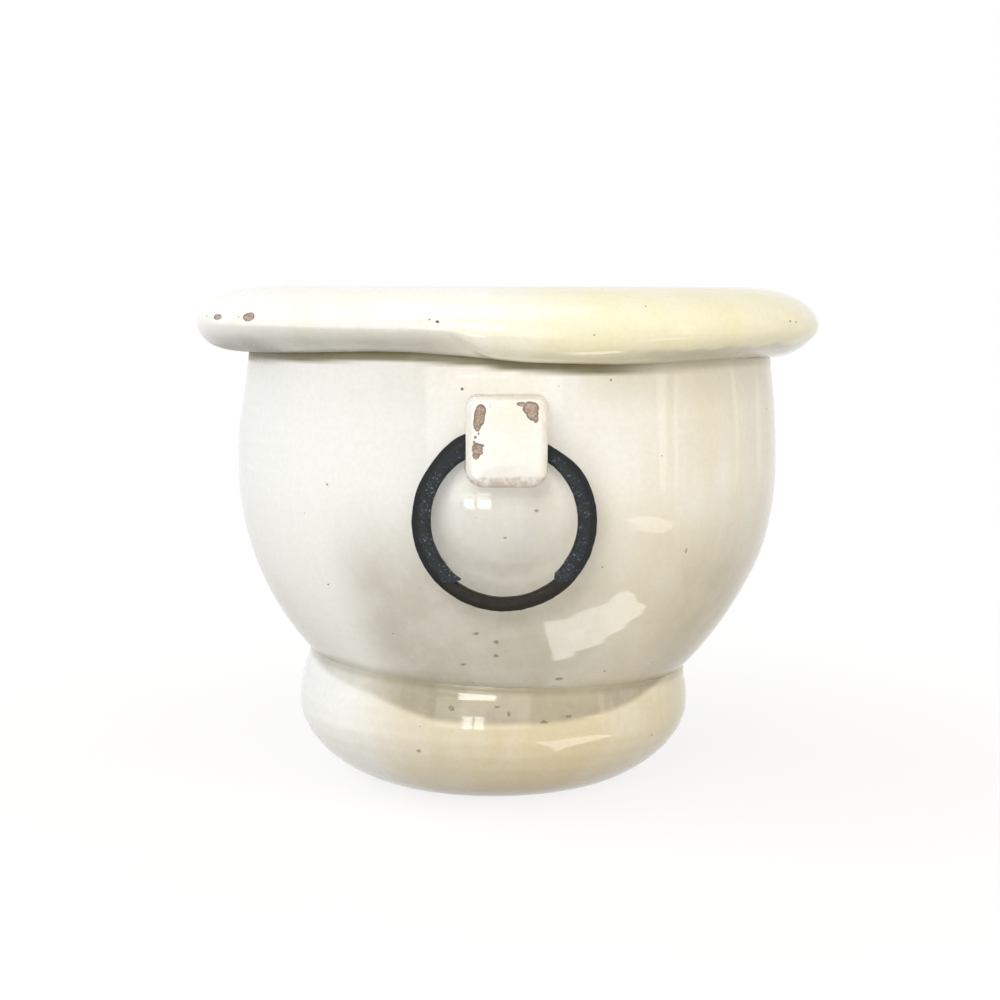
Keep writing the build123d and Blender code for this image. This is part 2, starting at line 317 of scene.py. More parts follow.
class Wiring:
    """Puts nodes into one tree and links them."""

    def __init__(self, tree, ends=None):
        self.tree, self.ends = tree, ends

    def feed(self, socket, value):
        """Links a socket to another, or gives it a plain value."""
        if isinstance(value, bpy.types.NodeSocket):
            self.tree.links.new(value, socket)
            return
        if socket.type == "RGBA" and len(value) == 3:
            value = (*value, 1.0)
        socket.default_value = value

    def put(self, kind, values=None, **settings):
        """Adds a node with its settings, and feeds its inputs by name or number."""
        node = self.tree.nodes.new(kind)
        for key, value in settings.items():
            setattr(node, key, value)
        for key, value in (values or {}).items():
            self.feed(node.inputs[key], value)
        return node

    def out(self, kind, values=None, **settings):
        """First output of a node."""
        return self.put(kind, values, **settings).outputs[0]

    def calc(self, operation, *values, clamp=False):
        """Output of a Math node."""
        return self.out("ShaderNodeMath", dict(enumerate(values)), operation=operation, use_clamp=clamp)

    def plus(self, first, second, clamp=False):
        return self.calc("ADD", first, second, clamp=clamp)

    def times(self, first, second, clamp=False):
        return self.calc("MULTIPLY", first, second, clamp=clamp)

    def times_plus(self, value, factor, rest):
        return self.calc("MULTIPLY_ADD", value, factor, rest)

    def vector(self, operation, *values):
        """Output of a Vector Math node, a number for a length and a vector otherwise."""
        node = self.put("ShaderNodeVectorMath", dict(enumerate(values)), operation=operation)
        return node.outputs["Value" if operation == "LENGTH" else "Vector"]

    def scaled(self, vector, factor):
        return self.out("ShaderNodeVectorMath", {0: vector, "Scale": factor}, operation="SCALE")

    def mixed(self, factor, first, second):
        """Output of a colour mix."""
        return self.put("ShaderNodeMix", {0: factor, 6: first, 7: second}, data_type="RGBA").outputs[2]

    def ramp(self, value, low, high, start=0.0, end=1.0):
        """Value brought smoothly from one range to another, and held there."""
        values = {"Value": value, "From Min": low, "From Max": high, "To Min": start, "To Max": end}
        return self.out("ShaderNodeMapRange", values, interpolation_type="SMOOTHSTEP")

    def speckle(self, place, scale, detail=2.0, roughness=0.5, output=0):
        """Noise, as a value, or as a colour for output 1."""
        values = {"Vector": place, "Scale": scale, "Detail": detail, "Roughness": roughness}
        return self.put("ShaderNodeTexNoise", values).outputs[output]

    def painted(self, word):
        """Amount that the mesh keeps under a word."""
        return self.put("ShaderNodeAttribute", attribute_name=word).outputs["Fac"]

    def group(self, maker, **values):
        """Places a shared shader group and feeds its inputs, with _ for a space in a label. Returns its outputs."""
        values = {label.replace("_", " "): value for label, value in values.items()}
        return self.put("ShaderNodeGroup", values, node_tree=once(maker)).outputs

    def give(self, **values):
        """Feeds the outputs of a group's tree, and returns the tree."""
        for label, value in values.items():
            self.feed(self.ends[label], value)
        return self.tree

    def finished(self, shape, material):
        """Ends a shape as plain, smooth faces of one material."""
        smooth = self.out("GeometryNodeSetShadeSmooth", {0: shape, "Shade Smooth": True})
        whole = self.out("GeometryNodeRealizeInstances", {0: smooth})
        return self.out("GeometryNodeSetMaterial", {"Geometry": whole, "Material": material})


def new_tree(name, kind, takes, gives):
    """Node group with sockets from lists such as "value Size, colour Tint".

    Returns its wiring and the sockets that bring its inputs."""
    tree = bpy.data.node_groups.new(name, kind)
    for entries, way in ((takes, "INPUT"), (gives, "OUTPUT")):
        for entry in entries.split(", "):
            sort, label = entry.split(" ", 1)
            tree.interface.new_socket(label, in_out=way, socket_type=SOCKETS[sort])
    ends = tree.nodes.new("NodeGroupOutput").inputs
    return Wiring(tree, ends), tree.nodes.new("NodeGroupInput").outputs


def once(maker):
    """Node tree that a maker builds, built only the first time."""
    key = "cachepot." + maker.__name__
    for tree in bpy.data.node_groups:
        if tree.get("made_by") == key:
            return tree
    tree = maker()
    tree["made_by"] = key
    return tree


def uneven_glaze():
    """Glaze that is thick and ivory in places, thin and cream in others, with a rippled surface."""
    t, into = new_tree(
        "Uneven glaze", "ShaderNodeTree",
        "vector Place, colour Ivory, colour Cream, value Cream share, value Patch scale",
        "colour Colour, value Roughness, value Height",
    )
    place = into["Place"]
    patches = t.speckle(place, into["Patch scale"], 4.0, 0.6)
    runs = t.speckle(t.out("ShaderNodeMapping", {"Vector": place, "Scale": (1.0, 1.0, 0.14)}), 70.0)
    fine = t.speckle(place, 420.0)
    wander, streak = t.times_plus(patches, 1.5, -0.75), t.times_plus(runs, 0.5, -0.25)
    thin = t.plus(t.plus(wander, streak), into["Cream share"], clamp=True)
    tone = t.mixed(thin, into["Ivory"], into["Cream"])
    return t.give(
        Colour=t.vector("MULTIPLY", tone, t.ramp(fine, 0.3, 0.7, 0.965, 1.0)),
        Roughness=t.ramp(fine, 0.3, 0.75, 0.04, 0.1),
        Height=t.times_plus(t.speckle(place, 150.0), 0.12, t.speckle(place, 34.0)),
    )


def flaw_distance():
    """Distance from the middle of one flaw in the glaze, 1 at its ragged edge."""
    takes = "vector Place, vector Centre, vector Reach, value Ragged"
    t, into = new_tree("Flaw in the glaze", "ShaderNodeTree", takes, "value Far")
    shake = t.vector("SUBTRACT", t.speckle(into["Place"], 560.0, 4.0, 0.7, 1), (0.5, 0.5, 0.5))
    shake = t.scaled(shake, t.times(into["Ragged"], 2.2))
    way = t.vector("ADD", t.vector("SUBTRACT", into["Place"], into["Centre"]), shake)
    return t.give(Far=t.vector("LENGTH", t.vector("DIVIDE", way, into["Reach"])))


def bare_clay():
    """Grainy clay inside a chip, with a dark edge round it: a stain with a painted shadow of the glaze's edge."""
    t, into = new_tree(
        "Bare clay", "ShaderNodeTree",
        "vector Place, value Far, colour Glaze, colour Clay, colour Stain",
        "colour Colour, value Mask, value Height",
    )
    mask = t.ramp(into["Far"], 1.0, 0.92)
    edge = t.times(t.ramp(into["Far"], 0.78, 0.97), t.ramp(into["Far"], 1.12, 1.02))
    grain = t.speckle(into["Place"], 800.0, 4.0, 0.7)
    clay = t.scaled(into["Clay"], t.ramp(grain, 0.38, 0.62, 0.6, 1.18))
    tone = t.mixed(mask, into["Glaze"], clay)
    return t.give(
        Colour=t.mixed(t.times(edge, 0.85), tone, into["Stain"]),
        Mask=mask,
        Height=t.times(mask, t.times_plus(grain, 0.9, -1.7)),
    )


def pinholes():
    """Sparse dark pinholes in the glaze."""
    takes = "vector Place, value Scale, value Size, value Share"
    t, into = new_tree("Pinholes", "ShaderNodeTree", takes, "value Mask")
    cells = t.put("ShaderNodeTexVoronoi", {"Vector": into["Place"], "Scale": into["Scale"]}).outputs
    chosen = t.calc("LESS_THAN", t.out("ShaderNodeSeparateColor", {0: cells["Color"]}), into["Share"])
    near = t.calc("DIVIDE", cells["Distance"], into["Size"])
    return t.give(Mask=t.times(t.ramp(near, 1.0, 0.6), chosen))


def broken_layer():
    """A painted amount broken up by noise, for painted shade, and for dust and wear mixed with painted shade."""
    takes = "vector Place, value Painted, value Scale, value Least"
    t, into = new_tree("Settled layer", "ShaderNodeTree", takes, "value Mask")
    broken = t.ramp(t.speckle(into["Place"], into["Scale"], 4.0, 0.65), 0.36, 0.64, into["Least"], 1.0)
    return t.give(Mask=t.times(into["Painted"], broken, clamp=True))


def forge_scale():
    """Dark iron with patches of blue-grey scale and small bright flecks."""
    t, into = new_tree(
        "Forge scale", "ShaderNodeTree",
        "vector Place, colour Iron, colour Scale, colour Fleck, value Scale share",
        "colour Colour, value Roughness, value Height",
    )
    place = into["Place"]
    patches = t.speckle(place, 230.0, 5.0, 0.7)
    grains = t.speckle(place, 900.0, 3.0, 0.65)
    pits = t.put("ShaderNodeTexVoronoi", {"Vector": place, "Scale": 620.0}).outputs["Distance"]
    lean = t.times_plus(grains, 0.55, t.times(patches, 0.8))
    over = t.plus(lean, t.calc("SUBTRACT", into["Scale share"], 1.0))
    cover = t.ramp(over, 0.0, 0.2)
    tone = t.mixed(cover, into["Iron"], into["Scale"])
    bright = t.times(t.ramp(grains, 0.56, 0.68), t.ramp(over, 0.08, 0.24))
    return t.give(
        Colour=t.mixed(bright, tone, into["Fleck"]),
        Roughness=t.ramp(lean, 0.4, 0.9, 0.42, 0.7),
        Height=t.plus(t.times_plus(pits, 0.5, grains), cover),
    )


def thrown_clay():
    """Turns the points of a profile about Z and lets the wall wander as a hand-thrown one does."""
    t, into = new_tree(
        "Thrown clay", "GeometryNodeTree",
        "shape Profile, whole Segments, value Wobble, value Wobble scale, value Ridge, value Ridge pitch, "
        "value Seed, material Finish",
        "shape Clay",
    )
    size = t.put("GeometryNodeAttributeDomainSize", {"Geometry": into["Profile"]}, component="MESH")
    points = size.outputs["Point Count"]
    around = t.plus(into["Segments"], 1.0)
    grid = t.out("GeometryNodeMeshGrid", {"Size X": 1.0, "Size Y": 1.0, "Vertices X": around, "Vertices Y": points})
    position = t.out("GeometryNodeInputPosition")
    spot = t.put("ShaderNodeSeparateXYZ", {0: position}).outputs
    row = t.calc("ROUND", t.times(t.plus(spot["Y"], 0.5), t.calc("SUBTRACT", points, 1.0)))
    turn = t.times(spot["X"], FULL_TURN)
    kept = t.out(
        "GeometryNodeStoreNamedAttribute", {"Geometry": grid, "Name": "row", "Value": row},
        data_type="FLOAT", domain="POINT",
    )
    sample = t.out(
        "GeometryNodeSampleIndex", {"Geometry": into["Profile"], "Value": position, "Index": row},
        data_type="FLOAT_VECTOR", domain="POINT",
    )
    drawn = t.put("ShaderNodeSeparateXYZ", {0: sample}).outputs
    radius, height = drawn["X"], drawn["Z"]
    across, along = t.calc("SINE", turn), t.times(t.calc("COSINE", turn), -1.0)

    def placed(far):
        return t.out("ShaderNodeCombineXYZ", {"X": t.times(far, across), "Y": t.times(far, along), "Z": height})

    wander = t.out(
        "ShaderNodeTexNoise",
        {"Vector": placed(radius), "W": into["Seed"], "Scale": into["Wobble scale"], "Detail": 1.0},
        noise_dimensions="4D",
    )
    wander = t.times(t.times_plus(wander, 2.0, -1.0), into["Wobble"])
    wave = t.plus(t.calc("DIVIDE", height, into["Ridge pitch"]), t.calc("DIVIDE", turn, FULL_TURN))
    wave = t.times(t.calc("SINE", t.times(wave, FULL_TURN)), into["Ridge"])
    away = t.ramp(radius, 10.0 * MM, 60.0 * MM)
    moved = t.times_plus(t.plus(wander, wave), away, radius)
    shaped = t.out("GeometryNodeSetPosition", {"Geometry": kept, "Position": placed(moved)})
    closed = t.out("GeometryNodeMergeByDistance", {"Geometry": shaped, "Distance": SEAM_GAP})
    return t.give(Clay=t.finished(closed, into["Finish"]))


def kiln_grit():
    """Scatters small flat grains of burnt grit over the glaze."""
    t, into = new_tree(
        "Kiln grit", "GeometryNodeTree",
        "shape Glaze, value Density, value Smallest, value Largest, whole Seed, material Finish",
        "shape Grit",
    )
    seed = into["Seed"]
    spread = t.put(
        "GeometryNodeDistributePointsOnFaces", {"Mesh": into["Glaze"], "Density": into["Density"], "Seed": seed},
        distribute_method="RANDOM",
    ).outputs
    grain = t.out("GeometryNodeMeshIcoSphere", {"Radius": 1.0, "Subdivisions": 1})
    sizes = {"Seed": seed, 2: into["Smallest"], 3: into["Largest"]}
    size = t.put("FunctionNodeRandomValue", sizes, data_type="FLOAT").outputs[1]
    grains = t.out("GeometryNodeInstanceOnPoints", {
        "Points": spread["Points"], "Instance": grain, "Rotation": spread["Rotation"],
        "Scale": t.scaled((1.0, 0.75, 0.22), size),
    })
    return t.give(Grit=t.finished(grains, into["Finish"]))


# Finishes

def blank_material(name):
    """New material with its wiring and the place on the piece."""
    material = bpy.data.materials.new(name)
    material.use_nodes = True
    material.node_tree.nodes.clear()
    t = Wiring(material.node_tree)
    return material, t, t.put("ShaderNodeTexCoord").outputs["Object"]


def close_material(t, values):
    """Ends a material with its shader."""
    t.put("ShaderNodeOutputMaterial", {"Surface": t.out("ShaderNodeBsdfPrincipled", values)})


def darker(tint, factor):
    return [factor * value for value in tint]


def nearest_flaw(t, place, flaws):
    """Distance to the nearest of some flaws, 1 at its edge."""
    nearest = None
    for centre, reach, ragged in flaws:
        centre, reach = ([MM * v for v in values] for values in (centre, reach))
        far = t.group(flaw_distance, Place=place, Centre=centre, Reach=reach, Ragged=ragged * MM)[0]
        nearest = far if nearest is None else t.calc("MINIMUM", nearest, far)
    return nearest


def glaze_material(name, finish, thin_tint, shade_tint, cream_share, patch_scale, chips=(), pits=(), specks=()):
    """Ivory glaze with its flaws: chips down to the clay, shallow pits that hold dirt, and burnt specks."""
    material, t, place = blank_material(name)
    crease = t.painted("crease")
    tone, rough, height = t.group(
        uneven_glaze, Place=place, Ivory=finish.ivory, Cream=thin_tint,
        # The painted cream share holds painted light as well as thin glaze
        Cream_share=t.plus(t.painted("thin"), cream_share), Patch_scale=patch_scale,
    )
    # Three painted layers: painted shade; dust with painted shade in the creases; wear with painted shade on the
    # lug's edges
    for painted, scale, least, tint in (
        (t.painted("pooled"), 45.0, 0.75, shade_tint),
        (crease, 60.0, 0.94, finish.dust_and_shade),
        (t.painted("worn"), 280.0, 0.2, finish.worn),
    ):
        amount = t.group(broken_layer, Place=place, Painted=painted, Scale=scale, Least=least)[0]
        tone = t.mixed(amount, tone, tint)
    rough = t.times_plus(crease, 0.45, rough)
    holes = t.group(pinholes, Place=place, Scale=70.0, Size=0.05, Share=0.45)[0]
    tone = t.mixed(t.times(holes, 0.7), tone, finish.grit)
    height = t.times_plus(holes, -0.8, height)
    if pits:
        dirt = t.ramp(nearest_flaw(t, place, pits), 1.1, 0.45)
        tone = t.mixed(t.times(dirt, 0.6), tone, finish.grit)
        height = t.times_plus(dirt, -0.9, height)
    if specks:
        burnt = t.ramp(nearest_flaw(t, place, specks), 1.0, 0.75)
        tone = t.mixed(t.times(burnt, 0.9), tone, darker(finish.grit, 0.35))
    if chips:
        tone, bare, relief = t.group(
            bare_clay, Place=place, Far=nearest_flaw(t, place, chips), Glaze=tone,
            Clay=finish.clay, Stain=finish.clay_edge,
        )
        rough = t.calc("MAXIMUM", rough, t.times(bare, 0.8))
        height = t.plus(height, relief)
    bump = t.out("ShaderNodeBump", {"Height": height, "Strength": 0.35, "Distance": 0.5 * MM})
    close_material(t, {"Base Color": tone, "Roughness": rough, "Normal": bump, "IOR": 1.5})
    return material


def iron_material(name, finish, iron, scale_share):
    """Forged iron under its dark skin, with scale where the mesh is painted scaly."""
    material, t, place = blank_material(name)
    tone, rough, height = t.group(
        forge_scale, Place=place, Iron=iron, Scale=finish.scale, Fleck=finish.fleck,
        Scale_share=t.times(t.painted("scaly"), scale_share),
    )
    bump = t.out("ShaderNodeBump", {"Height": height, "Strength": 0.5, "Distance": 0.18 * MM})
    close_material(t, {
        "Base Color": tone, "Roughness": rough, "Normal": bump, "Metallic": 0.3, "Specular IOR Level": 0.3,
    })
    return material


def grit_material(finish):
    """Burnt grit, darker in spots."""
    material, t, place = blank_material("burnt_grit")
    spots = t.ramp(t.speckle(place, 600.0), 0.35, 0.65)
    close_material(t, {"Base Color": t.mixed(spots, finish.grit, darker(finish.grit, 0.45)), "Roughness": 0.5})
    return material


# Curves and amounts

def smooth_step(value, low, high):
    """From nothing at low to one at high."""
    t = np.clip((value - low) / (high - low), 0.0, 1.0)
    return t * t * (3.0 - 2.0 * t)


def fall(value, low, high):
    """From one at low to nothing at high."""
    return 1.0 - smooth_step(value, low, high)


def span(value, start, full, fading, gone):
    """One from full to fading, and nothing up to the start and from where it is gone."""
    return smooth_step(value, start, full) * fall(value, fading, gone)


def hump(value, middle, spread):
    """One at the middle, falling away to nothing at the spread on both sides."""
    return fall(np.abs(value - middle), 0.0, spread)


def columns(*parts):
    """Points from their coordinates, where a plain number serves for all of them."""
    return np.stack(np.broadcast_arrays(*parts), axis=1)


def cubic(t, start, leaving, arriving, end):
    """Points of a curve with two handles at the shares t of its way."""
    return (1 - t) ** 3 * start + 3 * (1 - t) ** 2 * t * leaving + 3 * (1 - t) * t**2 * arriving + t**3 * end


def bent(t, start, corner, end, fullness):
    """Points of the curve that leaves start towards the corner and reaches end from the corner."""
    return cubic(t, start, start + (corner - start) * fullness, end + (corner - end) * fullness, end)


def quarter(start, corner, end, fullness, count):
    """Such a curve in a profile, with its fullness the same all along."""
    ends = (np.array(point, float) for point in (start, corner, end))
    return bent(np.linspace(0.0, 1.0, count)[:, None], *ends, fullness)


def arc(centre, radius, start, end, count):
    """Points of a circular arc in a profile, with its angles in radians."""
    turn = np.linspace(start, end, count)
    return np.array(centre) + radius * columns(np.cos(turn), np.sin(turn))


def line(start, end, count):
    return np.linspace(np.array(start, float), np.array(end, float), count)


def profile_of(*runs):
    """One row of profile points from runs that follow each other, without doubled points."""
    points = np.concatenate(runs)
    apart = np.linalg.norm(np.diff(points, axis=0), axis=1) > 0.01 * MM
    return points[np.concatenate(([True], apart))]


def strip(first, second):
    """Four-sided faces between two rows of point numbers."""
    return list(zip(first, first[1:], second[1:], second))


def noise_at(spots, scale, shift=0.0):
    """Smooth noise from -1 to 1 at each place."""
    return np.array([noise.noise(Vector(spot) * scale + Vector((shift, shift, shift))) for spot in spots])


def chip_amount(spots, chips):
    """How deep each place lies in a chip, from 0 to 1."""
    deep = np.zeros(len(spots))
    for centre, reach, _ in chips:
        far = np.linalg.norm((spots - np.array(centre) * MM) / (np.array(reach) * MM), axis=1)
        deep = np.maximum(deep, fall(far, 0.75, 1.05))
    return deep


def bowl_heights(clay):
    """Height of the bowl's widest place, and radius and centre of the arc of its upper wall."""
    widest = bowl_low.z + math.sqrt(clay.bowl_radius**2 - clay.bowl_base_radius**2)
    rise = rim_low.z - widest
    radius = (rise**2 + clay.neck_inset**2) / (2.0 * clay.neck_inset)
    return widest, radius, clay.bowl_radius - radius


def wall_radius(clay, height):
    """Outer radius of the bowl at a height."""
    widest, arc_radius, arc_centre = bowl_heights(clay)
    rise = np.asarray(height) - widest
    lower = np.sqrt(np.maximum(clay.bowl_radius**2 - rise**2, 0.0))
    upper = arc_centre + np.sqrt(arc_radius**2 - np.minimum(rise, 2 * arc_radius) ** 2)
    return np.where(rise < 0.0, lower, upper)


# Meshes

def add_piece(name, mesh, material=None):
    piece = bpy.data.objects.new(name, mesh)
    bpy.context.scene.collection.objects.link(piece)
    if material:
        mesh.materials.append(material)
    return piece


def made_plain(piece):
    """Turns what a piece's modifiers make into its own plain mesh."""
    depsgraph = bpy.context.evaluated_depsgraph_get()
    mesh = bpy.data.meshes.new_from_object(piece.evaluated_get(depsgraph))
    rough = piece.data
    piece.modifiers.clear()
    piece.data = mesh
    bpy.data.meshes.remove(rough)
    mesh.name = piece.name
    return piece


def run_nodes(piece, tree, values):
    """Runs a geometry node tree on a piece and leaves a plain mesh."""
    modifier = piece.modifiers.new(tree.name, "NODES")
    modifier.node_group = tree
    sockets = {item.name: item.identifier for item in tree.interface.items_tree if item.in_out == "INPUT"}
    for key, value in values.items():
        modifier[sockets[key]] = value
    return made_plain(piece)


def mesh_from(name, shape):
    """Mesh from a bmesh, which is freed."""
    mesh = bpy.data.meshes.new(name)
    shape.to_mesh(mesh)
    shape.free()
    return mesh


def face_outwards(mesh):
    shape = bmesh.new()
    shape.from_mesh(mesh)
    bmesh.ops.recalc_face_normals(shape, faces=shape.faces)
    shape.to_mesh(mesh)
    shape.free()


def solid_mesh(name, spots, faces):
    """Closed mesh that faces outwards."""
    mesh = bpy.data.meshes.new(name)
    mesh.from_pydata(spots.tolist(), [], faces)
    face_outwards(mesh)
    return mesh


def smooth_to(mesh, sharp):
    mesh.shade_smooth()
    mesh.set_sharp_from_angle(angle=sharp)


def spots_of(mesh):
    spots = np.empty(len(mesh.vertices) * 3)
    mesh.vertices.foreach_get("co", spots)
    return spots.reshape(-1, 3)


def move_to(mesh, spots):
    mesh.vertices.foreach_set("co", np.ascontiguousarray(spots, dtype=np.float32).ravel())
    mesh.update()


def paint_on(mesh, **amounts):
    """Keeps amounts for each point of a mesh under the words that its material reads."""
    for word, amount in amounts.items():
        layer = mesh.attributes.new(word, "FLOAT", "POINT")
        layer.data.foreach_set("value", np.ascontiguousarray(amount, dtype=np.float32))


def turned(name, profile, hand, material, wobble_scale, seed, segments):
    """A thrown piece: its profile turned about Z by nodes, as a plain mesh that faces outwards.

    Returns it with its points and the row of the profile that each was turned from."""
    mesh = bpy.data.meshes.new(name)
    mesh.from_pydata([(radius, 0.0, height) for radius, height in profile], [], [])
    piece = run_nodes(add_piece(name, mesh), once(thrown_clay), {
        "Segments": segments, "Wobble": hand.wobble, "Wobble scale": wobble_scale,
        "Ridge": hand.ridge, "Ridge pitch": RIDGE_PITCH, "Seed": seed, "Finish": material,
    })
    face_outwards(piece.data)
    rows = np.empty(len(piece.data.vertices))
    piece.data.attributes["row"].data.foreach_get("value", rows)
    return piece, spots_of(piece.data), rows


def round_and_turn(spots):
    """Distance from the axis and angle from the front, positive to the right, in degrees."""
    x, y = spots[:, 0], spots[:, 1]
    return np.hypot(x, y), np.degrees(np.arctan2(x, -y))


def make_bowl(clay, hand, material):
    """The round bowl with its pinched wall, its throwing rings inside, its uneven glaze and painted shade."""
    widest, arc_radius, arc_centre = bowl_heights(clay)
    neck, floor = rim_low.z, bowl_low.z + clay.bowl_floor
    inner, inner_arc = clay.bowl_radius - clay.bowl_wall, arc_radius - clay.bowl_wall
    middle, upper = (0.0, widest), (arc_centre, widest)
    outer_lower = arc(middle, clay.bowl_radius, -math.asin((widest - bowl_low.z) / clay.bowl_radius), 0.0, 66)
    outer_upper = arc(upper, arc_radius, 0.0, math.asin((neck - widest) / arc_radius), 30)
    inner_upper = arc(upper, inner_arc, math.asin((neck - widest) / inner_arc), 0.0, 26)
    inner_lower = arc(middle, inner, 0.0, -math.asin((widest - floor) / inner), 56)
    neck_out, neck_in = outer_upper[-1], inner_upper[0]
    collar = 9.0 * MM  # stands up inside the rim
    profile = profile_of(
        line((0.0, bowl_low.z), outer_lower[0], 8), outer_lower, outer_upper,
        line(neck_out, neck_out + (-0.4 * MM, collar), 8),
        line(neck_out + (-3.0 * MM, collar + 1.0 * MM), neck_in + (3.0 * MM, collar), 3),
        line(neck_in + (1.2 * MM, 0.4 * collar), neck_in, 3), inner_upper, inner_lower,
        line(inner_lower[-1], (0.0, floor), 10),
    )
    piece, spots, _ = turned("glazed_bowl", profile, hand, material, 16.0, 3.0, hand.segments)
    radius, turn = round_and_turn(spots)
    height = spots[:, 2]
    inside = radius < wall_radius(clay, height) - 0.6 * clay.bowl_wall
    outside = ~inside

    pinch = hand.neck_pinch * hump(turn, -88.0, 60.0) * smooth_step(height, widest + 12 * MM, neck - 14 * MM)
    pinch += hand.side_pinch * hump(turn, 92.0, 55.0) * hump(height, 86 * MM, 42 * MM)
    ring_depth, ring_pitch = 0.35 * MM, 9.0 * MM
    rings = ring_depth * np.sin(FULL_TURN * (height / ring_pitch + turn / 360.0))
    rings *= inside * smooth_step(radius, 30 * MM, 70 * MM)
    spots[:, :2] *= (1.0 - (pinch + rings) / np.maximum(radius, 1 * MM))[:, None]
    move_to(piece.data, spots)

    # Dust with painted shade: the rim's painted shadow on the neck, fainter at the right, and shade at the foot's
    # seat and on the inner floor
    lip = neck + rim_pressing(hand, turn)[0]
    fades = 1.0 - 0.72 * span(turn, 16.0, 34.0, 100.0, 125.0) - 0.1 * span(turn, -125.0, -100.0, -60.0, -44.0)
    under_rim = outside * fades * smooth_step(height - lip, -5.2 * MM, -3.4 * MM)
    seat = np.hypot(spots[:, 0] - clay.foot_shift, spots[:, 1]) - 0.962 * clay.foot_radius
    at_foot = 0.3 * outside * (height < widest) * hump(seat, 0.0, 4.0 * MM)
    on_floor = 0.5 * inside * fall(height, floor, floor + 30 * MM)
    # Painted shade on the lower front and middle of the bowl
    lower = 0.62 * span(turn, -42.0, -26.0, 60.0, 100.0) * (1.0 - 0.5 * hump(turn, 30.0, 24.0))
    pooled = lower * fall(height, 108 * MM, 168 * MM)
    # Painted dark reflection along the left side, near the outline
    edge = -turn - 46.0 - 0.31 * (height / MM - 77.0)
    left_edge = smooth_step(edge, -6.0, 20.0) * smooth_step(turn, -185.0, -82.0)
    pooled += 0.36 * left_edge * fall(height, 100 * MM, 172 * MM)
    # Painted shadow of the rim on the upper wall at the right
    pooled += 0.3 * span(turn, 6.0, 24.0, 62.0, 84.0) * smooth_step(height, neck - 26 * MM, neck - 8 * MM)
    paint_on(
        piece.data,
        crease=np.maximum(np.maximum(under_rim, at_foot), on_floor),
        # Cream share, partly thin glaze and partly painted light: creamier at the right where warm light falls,
        # whiter at the left where strong light falls
        thin=0.52 * span(turn, 4.0, 42.0, 110.0, 150.0) - 0.26 * span(turn, -150.0, -110.0, -30.0, -6.0),
        pooled=outside * pooled,
    )
    return piece


def rim_pressing(hand, turn):
    """How far the rim's underside is lifted and how its widest place wanders, by angle."""
    lift = np.interp(
        turn, (-180, -135, -100, -76, -58, -41, -27, -19, -8, 3, 20, 32, 45, 60, 84, 120, 180),
        (0.0, 0.0, 0.2, 0.35, 0.47, 0.7, 0.91, 0.9, 0.62, 0.13, -0.08, 0.0, 0.2, 0.22, -0.15, 0.0, 0.0),
    )
    tip = np.interp(turn, (-180, -110, -60, -14, 8, 30, 100, 180), (0.0, 0.5, 1.0, 0.5, -2.6, -1.2, -0.6, 0.0))
    return lift * hand.rim_lift, tip * MM


def rim_fullness(hand, turn, rise):
    """How full the rim's underside is, by angle and by the share of the way from its edge to its tip.

    A slanting fold parts the pressed left side from the full roll at the front."""
    pressed = np.interp(
        turn, (-180, -120, -95, -80, -62, -45, 15, 30), (0.45, 0.55, 0.86, 0.76, 0.24, 0.05, 0.0, 0.4)
    )
    rolled = np.interp(
        turn, (-15, 3, 12, 25, 40, 70, 92, 130, 180), (0.9, 0.95, 1.0, 0.7, 0.45, 0.33, 0.24, 0.45, 0.45)
    )
    fold = -3.0 - 6.0 * rise
    side = smooth_step(turn - fold, -2.0, 2.6)
    return hand.rim_slim + (hand.rim_full - hand.rim_slim) * (pressed * (1.0 - side) + rolled * side)


def eased(values, count):
    """Values round the rim with their corners softened."""
    for _ in range(count):
        values = (np.roll(values, 1) + values + np.roll(values, -1)) / 3.0
    return values


